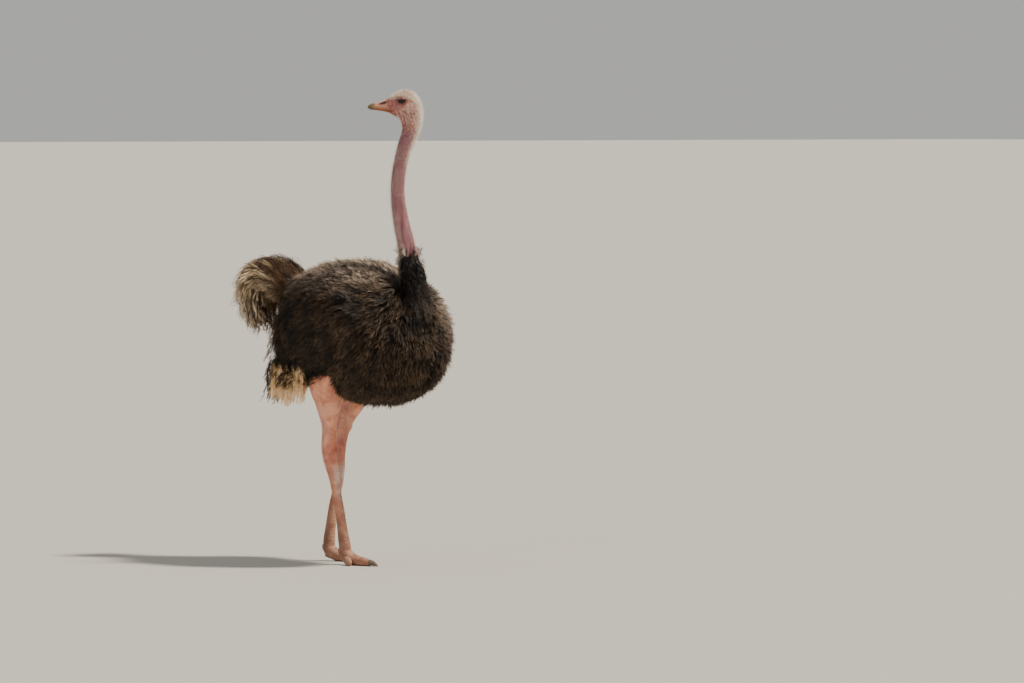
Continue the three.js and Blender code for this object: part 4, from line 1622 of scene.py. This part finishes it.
# %% White wing plumes
def wing_plume_spines(side, count, seed):
    """Spines hanging from the lower edge of a wing, and their tones: the rearmost are the dark ones."""
    random = np.random.default_rng(seed)
    t = np.linspace(0, 1, 9)
    across, depth = random.uniform(-1, 1, (2, count, 1))
    length = random.uniform(0.55, 1.0, (count, 1)) ** 0.6 * (1 - 0.1 * np.abs(across))
    rearmost = across < -0.93
    forward = -220 + across * (86 + 36 * np.sin(np.pi * np.clip(t, 0, 0.6))) - 20 * rearmost
    forward = forward - (10 * t**2 + 26 * ease(t, 0.82, 1.05)) * random.uniform(-0.3, 1.2, (count, 1))
    height = 950 - 232 * length * t
    lateral = 260 + depth * (14 + 6 * t) + 4 * np.sin(t * 5 + depth * 9)
    spines = on_bird(MIRROR[side] * lateral, forward, height)
    tones = np.where(rearmost[:, 0], 0.05, random.uniform(0.5, 1, count))
    return spines, np.broadcast_to(LEFT * MIRROR[side], spines.shape), np.hstack([across, depth]), tones


for side in MIRROR:
    spines, outward, spots, tones = wing_plume_spines(side, 170, 61 + MIRROR[side])
    groups = plume_groups(spines, outward, within(spots), 63 + MIRROR[side], width=0.034, barbs=26,
                          tones=tones, hang=0.9, ruffle=0.004, gather=0.8, segments=3, spread=(0.3, 0.15),
                          thick=0.9)
    name = "plumes_white_" + side
    plumes[name] = ribbon_mesh(name, groups)

# %% [markdown]
# ## Bristles, down and lashes
#
# The head and the nape wear short stiff bristles, and the bare neck has sparse pale down that only
# shows as a light fringe at its edges. The lashes are feathers too, reduced to black shafts.

# %% Bristles
def strands(name, roots, directions, patches, seed, length, thick, bend=0.35, tone=None):
    """Single bent hairs, one ribbon each; every fifth one is longer."""
    random = np.random.default_rng(seed)
    count = len(roots)
    length = column(length, count) * random.uniform(0.7, 1.2, (count, 1))
    length = length * (1 + 0.8 * (random.uniform(0, 1, (count, 1)) > 0.8))
    sag = unit(random.normal(0, 1, (count, 3))) * bend
    middle = roots + directions * length * 0.5
    tip = middle + unit(directions + sag) * length * 0.5
    across = unit(np.cross(directions, random.normal(0, 1, (count, 3))))
    widths = np.array([1.0, 0.75, 0]) * thick * MM
    tones = random.uniform(0, 1, count) if tone is None else tone
    group = (np.stack([roots, middle, tip], 1), across, widths, patches, tones, np.array([0, 0.5, 1.0]))
    return ribbon_mesh(name, [group])


def head_surface(u, v):
    return neck_and_head(u, HEAD_START - 0.12 + (1.0 - HEAD_START + 0.10) * v)


def rooted(surface, u, v):
    """The places of roots, the directions out of the skin there and their places in the UV map."""
    return surface(u, v), outward_normals(surface, u, v), np.stack([u, v], -1)


roots, normals, spots = rooted(head_surface, *scatter(head_surface, 0.0013, 71))
ahead, across, up = head_places(roots)
near_eye = np.stack([ahead - EYE_FORWARD, up - EYE_HEIGHT])
relief = face_relief(ahead, across, up) * ease(up, 1975, 2000)
roots = roots + normals * ((relief - 0.4) * MM)[:, None]
crown = ease(up - crown_line(ahead), -14, 7)
# The pale bristles down the back of the neck are partly painted rim light
nape = nape_hair_and_rim_light(ahead, up)
hairy = np.maximum(crown, nape) * ease(ahead, 168, 128)
ear_hair = hump(np.hypot(ahead - EAR[0] + 3, (up - EAR[1]) * 0.8), 0, 17) * ease(np.abs(across), 10, 20)
cheek = ease(up, 1900, 2030) * ease(np.hypot(near_eye[0] / 1.3, near_eye[1]), 18, 24) * ease(ahead, 150, 60)
cheek = 0.55 * cheek * (0.6 + 0.4 * np.sin(roots @ [160, 210, 190] + 3 * np.sin(roots @ [130, -90, 110])))
chance, tones = np.random.default_rng(72).uniform(0, 1, (2, len(roots)))
# The bristles are darker round the ear, and along the brow they carry painted shade
brow_shade_on_bristles = hump(up - 2120 - 0.1 * near_eye[0], 0, 9) * hump(ahead, 100, 42) * ease(np.abs(across), 14, 24)
tones = tones * (1 - 0.8 * np.maximum(ear_hair, brow_shade_on_bristles))
density = 0.85 * np.maximum(hairy, np.maximum(cheek, ear_hair))
chosen = (chance < density) & (np.hypot(near_eye[0] / 1.25, near_eye[1]) > 17)
backwards = -HEAD_FORWARD * 0.9 + UP * (0.35 * crown - 0.5 * nape)[:, None]
directions = unit(lie(normals, backwards + waves(roots * 6, 0.3)) + normals * (0.6 + 0.9 * hairy)[:, None])
length = (0.005 + 0.0065 * np.maximum(hairy, nape)) * (1 - 0.55 * ease(ahead, 110, 150))
plumes["coat_head"] = strands("coat_head", roots[chosen], directions[chosen], within(spots[chosen]), 73,
                              length[chosen], 0.3, tone=tones[chosen])

# %% Down and collar
BARE_FROM = 0.197


def bare_neck_surface(u, v):
    return neck_and_head(u, BARE_FROM + (HEAD_START - BARE_FROM) * v)


u, v = scatter(bare_neck_surface, 0.0032, 75)
kept = np.random.default_rng(81).uniform(0.05, 1, len(v)) < ease(v, 1.0, 0.72)
roots, normals, spots = rooted(bare_neck_surface, u[kept], v[kept])
directions = unit(lie(normals, -UP + waves(roots * 5, 0.4)) * 0.45 + normals)
plumes["coat_neck_down"] = strands("coat_neck_down", roots, directions, within(spots), 76, 0.0095, 0.24)

u, v = scatter(bare_neck_surface, 0.0021, 78)
roots, normals, spots = rooted(bare_neck_surface, u, v)
tufts = ease(np.sin(u * 31) + np.sin(u * 17), 0.2, 1.2)
edge = hump(roots[:, 2], 1.420 + 0.006 * np.sin(u * 50), 0.016) * tufts
chosen = np.random.default_rng(79).uniform(0, 1, len(u)) < edge
directions = unit(normals * 0.55 + UP * 0.8 + waves(roots * 9, 0.6))
plumes["coat_collar"] = strands("coat_collar", roots[chosen], directions[chosen], within(spots[chosen]), 80,
                                0.022, 0.5, 0.7)

# %% Lashes
def lashes(side, count=44):
    """Long bristles along the upper lid."""
    forward, outward, up = head_axes(side)
    turn = np.linspace(0.25, np.pi - 0.2, count)
    ahead, high = almond(turn, 1.4)
    out = np.sqrt((EYE_RADIUS + LID) ** 2 - ahead**2 - high**2)
    roots = eye_centre(side) + (ahead[:, None] * forward + high[:, None] * up + out[:, None] * outward) * MM
    away = outward * 0.9 + up * 0.35 + forward * (ahead / 26)[:, None]
    patches = within(np.stack([turn, np.sin(turn * 9)], -1))
    return strands("lashes_" + side, roots, unit(away), patches, 77, 0.0095, 0.28, 0.12)


for side in MIRROR:
    plumes["lashes_" + side] = lashes(side)

# %% [markdown]
# ## The finish of the feathers
#
# Feathers are dark at the root and worn to a lighter brown towards the tips, in patches that noise
# makes. Where the sun has bleached them, where painted sheen greys the top of the back and the left
# shoulder, and where white plumes turn dark, depends on the place on the bird. That is worked out for
# each point and kept as the number `fade`, which the materials read. Below the root of the neck, a
# column of painted shadow darkens the tones of the plumes on the right of the breast.

# %% Colours of the feathers
def plume_material(name, dark, mid, light, worn=(0.4, 0.95), lit=0.8, faded=None, rough=0.6, gloss=0.16,
                   cloud=11):
    """Dark at the root and lighter at the tips; some locks and some parts of the body are more worn.
    Where the mesh has the number "fade", the feathers go over to the colour `faded`."""
    material = Material(name, Specular_IOR_Level=gloss)
    tone, tip = material.attribute("tone"), material.attribute("tip")
    patchy = material.noise(material.places(), cloud, 2)
    wear = material.clamp(tone * 0.4 + patchy, *worn)
    base = material.mix(wear, rgb(dark), rgb(mid))
    base = material.mix(material.clamp(tip, 0.3, 0.95) * wear * lit, base, rgb(light))
    if faded:
        base = material.mix(material.attribute("fade"), base, rgb(faded))
    return material.finish(Base_Color=base, Roughness=rough)


def kept_number(made, name):
    """A number that was kept for each point of an object."""
    values = np.empty(len(made.data.vertices), np.float32)
    made.data.attributes[name].data.foreach_get("value", values)
    return values


def fade(made, amount):
    """Keeps how faded an object's feathers are, from a rule on their places and tones; on the black plumage
    part of that is painted sheen.
    """
    faded = amount(places_of(made) - SHIFT, kept_number(made, "tone"), kept_number(made, "tip"))
    number(made, "fade", np.clip(faded, 0, 1))


def neck_shadow(places):
    """1 on the column of painted shadow that the root of the neck casts on the right of the breast, as the
    camera sees it: there the plumes are darkened and unfaded.
    """
    across, ahead = places @ [0.766, -0.643, 0], places @ [-0.643, -0.766, 0]
    return ease(np.abs(across - 0.232), 0.085, 0.055) * ease(places[:, 2], 1.0, 1.14) * ease(ahead, 0, 0.12)


def back_bleach_and_sheen(places, tone, tip):
    """Sun-bleached between the shoulders, just behind the neck; greyer along the top of the back and on the
    left shoulder, which is painted sheen where the top light falls. None in the painted neck shadow.
    """
    near = np.linalg.norm((places - [-0.06, -0.14, 1.36]) / [0.22, 0.17, 0.14], axis=1)
    top = ease(places[:, 2], 1.22, 1.36) * ease(places[:, 1], 0.5, 0.3) * 0.9
    # Painted sheen on the front of the left shoulder
    shoulder = hump(np.linalg.norm((places - [0.22, -0.42, 1.22]) / [1, 1, 1.5], axis=1), 0, 0.22) * 0.9
    where = np.maximum(ease(near, 1.1, 0.3), np.maximum(top, shoulder)) * (1 - neck_shadow(places))
    return where * ease(tone, 0.15, 0.65) * ease(tip, 0.05, 0.5)


def tail_fade(places, tone, tip):
    """Cream on the right and rear edge of the tail, and on stray tips."""
    edge = ease(places[:, 0] - 0.25 * (places[:, 1] - 0.6), -0.075, -0.15)
    return np.maximum(edge * ease(tone, 0.3, 0.5), 0.8 * (tone > 0.9)) * ease(tip, 0.2, 0.7)


def white_fade(places, tone, tip):
    """Dark at the roots, at the tips of the plumes to the rear, and all along the rearmost ones."""
    low = ease(places[:, 2] + 0.02 * np.sin(places[:, 1] * 90 + tone * 6), 0.765, 0.735)
    roots = ease(places[:, 2] + 0.03 * tone + 0.012 * np.sin(places[:, 1] * 140), 0.900, 0.925)
    tips = low * np.maximum(ease(tone, 0.86, 0.92), ease(places[:, 1], 0.27, 0.30))
    return np.maximum(np.maximum(tips, roots), ease(tone, 0.345, 0.335))


BODY_COATS = ("coat_breast", "coat_back", "coat_flank_left", "coat_flank_right", "coat_neck")
for name in (*BODY_COATS, "coat_wing_left", "coat_wing_right"):
    coat = plumes[name]
    fade(coat, back_bleach_and_sheen)
    # Painted shadow of the neck: the tones are darkened in the column below its root
    tone = kept_number(coat, "tone") * (1 - 0.8 * neck_shadow(places_of(coat) - SHIFT))
    coat.data.attributes["tone"].data.foreach_set("value", tone.astype(np.float32))
fade(plumes["coat_tail"], tail_fade)
for side in MIRROR:
    fade(plumes["plumes_white_" + side], white_fade)

# The faded colour of the black plumage is sun-bleached behind the neck and painted sheen on the top of the
# back and the left shoulder
black = plume_material("black_plumage", "#0e0704", "#32200f", "#957a5e", (0.5, 1.0), faded="#c0aa96",
                       rough=0.52, gloss=0.24)
tail = plume_material("tail_plumage", "#150d08", "#5c412d", "#b89470", (0.45, 0.95), 0.9, "#f4dcb6")
white = plume_material("white_plumage", "#e8b27e", "#ffd8a0", "#ffedc8", (0.3, 0.9), 0.7, "#1b130d")
bristles = plume_material("bristles", "#c8ac96", "#fbeedb", "#fffcf4", (0.4, 0.75), 1.0, cloud=105)
lash = plume_material("lashes", "#0c0806", "#120c09", "#1c140f")
FINISHES = {
    "tail": tail,
    "white": white,
    "head": bristles,
    "down": bristles,
    "collar": bristles,
    "lashes": lash,
}
for name, made in plumes.items():
    finish = next((FINISHES[word] for word in name.split("_") if word in FINISHES), black)
    made.data.materials.append(finish)
    print(name, "is finished in", finish.name)

# %% [markdown]
# ## Studio
#
# A plain pale floor, a large soft light from the upper right like a high sun behind thin cloud, a
# weaker one from the left, and a pale surrounding. The camera stands far off with a long lens, a
# little under the height of the bird's crown, and looks at it from its right front.

# %% Floor, lights and camera
bm = bmesh.new()
bmesh.ops.create_grid(bm, x_segments=1, y_segments=1, size=400)
floor = make_object("floor", bm)
floor.data.materials.append(Material("floor", Roughness=0.9).finish(Base_Color=rgb("#b9b5ad")))

LIT_MIDDLE = Vector((0, 0, 1.1))
for name, place, energy, tint, angle, gloss in (
    ("sun", (2.4, -3.8, 8.0), 5.2, (1.0, 0.93, 0.81), 0.12, 1.0),
    ("fill", (-6.0, -2.0, 3.0), 0.5, (0.95, 0.97, 1.0), 0.5, 0.0),
):
    light = bpy.data.lights.new(name, "SUN")
    light.energy = energy
    light.color = tint
    light.angle = angle
    light.specular_factor = gloss
    made = put_in_scene(name, light)
    made.location = place
    made.rotation_euler = (LIT_MIDDLE - Vector(place)).to_track_quat("-Z", "Y").to_euler()

world = bpy.data.worlds.new("studio")
world.use_nodes = True
background = world.node_tree.nodes["Background"].inputs
background["Color"].default_value = (0.93, 0.92, 0.9, 1)
background["Strength"].default_value = 0.5
bpy.context.scene.world = world

CAMERA_TURN = math.radians(40)
CAMERA_DISTANCE, CAMERA_HEIGHT = 32.0, 2.045
CAMERA_RIGHT, CAMERA_DOWN = math.radians(1.2125), math.radians(1.843)
camera_data = bpy.data.cameras.new("camera")
camera_data.sensor_width = 36
camera_data.lens = 247.5
camera = put_in_scene("camera", camera_data)
sideways, ahead = -CAMERA_DISTANCE * math.sin(CAMERA_TURN), CAMERA_DISTANCE * math.cos(CAMERA_TURN)
camera.location = on_bird(sideways / MM, ahead / MM, CAMERA_HEIGHT / MM)
camera.rotation_euler = (math.pi / 2 - CAMERA_DOWN, 0, -CAMERA_TURN - CAMERA_RIGHT)
bpy.context.scene.camera = camera
print("camera at", [round(x, 3) for x in camera.location])

# %% [markdown]
# ## What stands for what
#
# Each piece takes the place of some of the solids, rides on the one rigid body of this still model,
# and takes its finish from a named material slot.

# %% Pieces and solids
LEG_NODES = ["upper_leg_", "lower_leg_", "foot_", "toe_large_", "toe_small_"]
FLESH = ["trunk", "neck_base", "neck_lower", "neck_middle", "neck_upper", "head"]
FLESH += [node + side for side in MIRROR for node in LEG_NODES]


def stands_for(piece, slot, *nodes):
    """Puts a piece on the rigid body, in place of some solids; `slot` is not used."""
    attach(piece, "root")
    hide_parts(*nodes)


horn, claw_horn, eye_matter = horn_material(), claw_material(), eye_material()
stands_for(skin, "neck_skin", *FLESH)
for piece, half in ((bill_upper, "bill_upper"), (bill_lower, "bill_lower")):
    stands_for(piece, "bill_horn", half)
    piece.data.materials.append(horn)
for name in BODY_COATS:
    stands_for(plumes[name], "black_plumage")
stands_for(plumes["coat_tail"], "tail_plumage", "tail")
for name in ("coat_head", "coat_neck_down", "coat_collar"):
    stands_for(plumes[name], "white_plumage")
for side in MIRROR:
    stands_for(plumes["coat_wing_" + side], "black_plumage", "wing_" + side)
    stands_for(plumes["plumes_white_" + side], "white_plumage", "wing_plumes_" + side)
    stands_for(plumes["lashes_" + side], "black_plumage")
    stands_for(eyes[side], "eye", "eye_" + side)
    eyes[side].data.materials.append(eye_matter)
    stands_for(claws[side], "claw_horn", "claw_" + side)
    claws[side].data.materials.append(claw_horn)
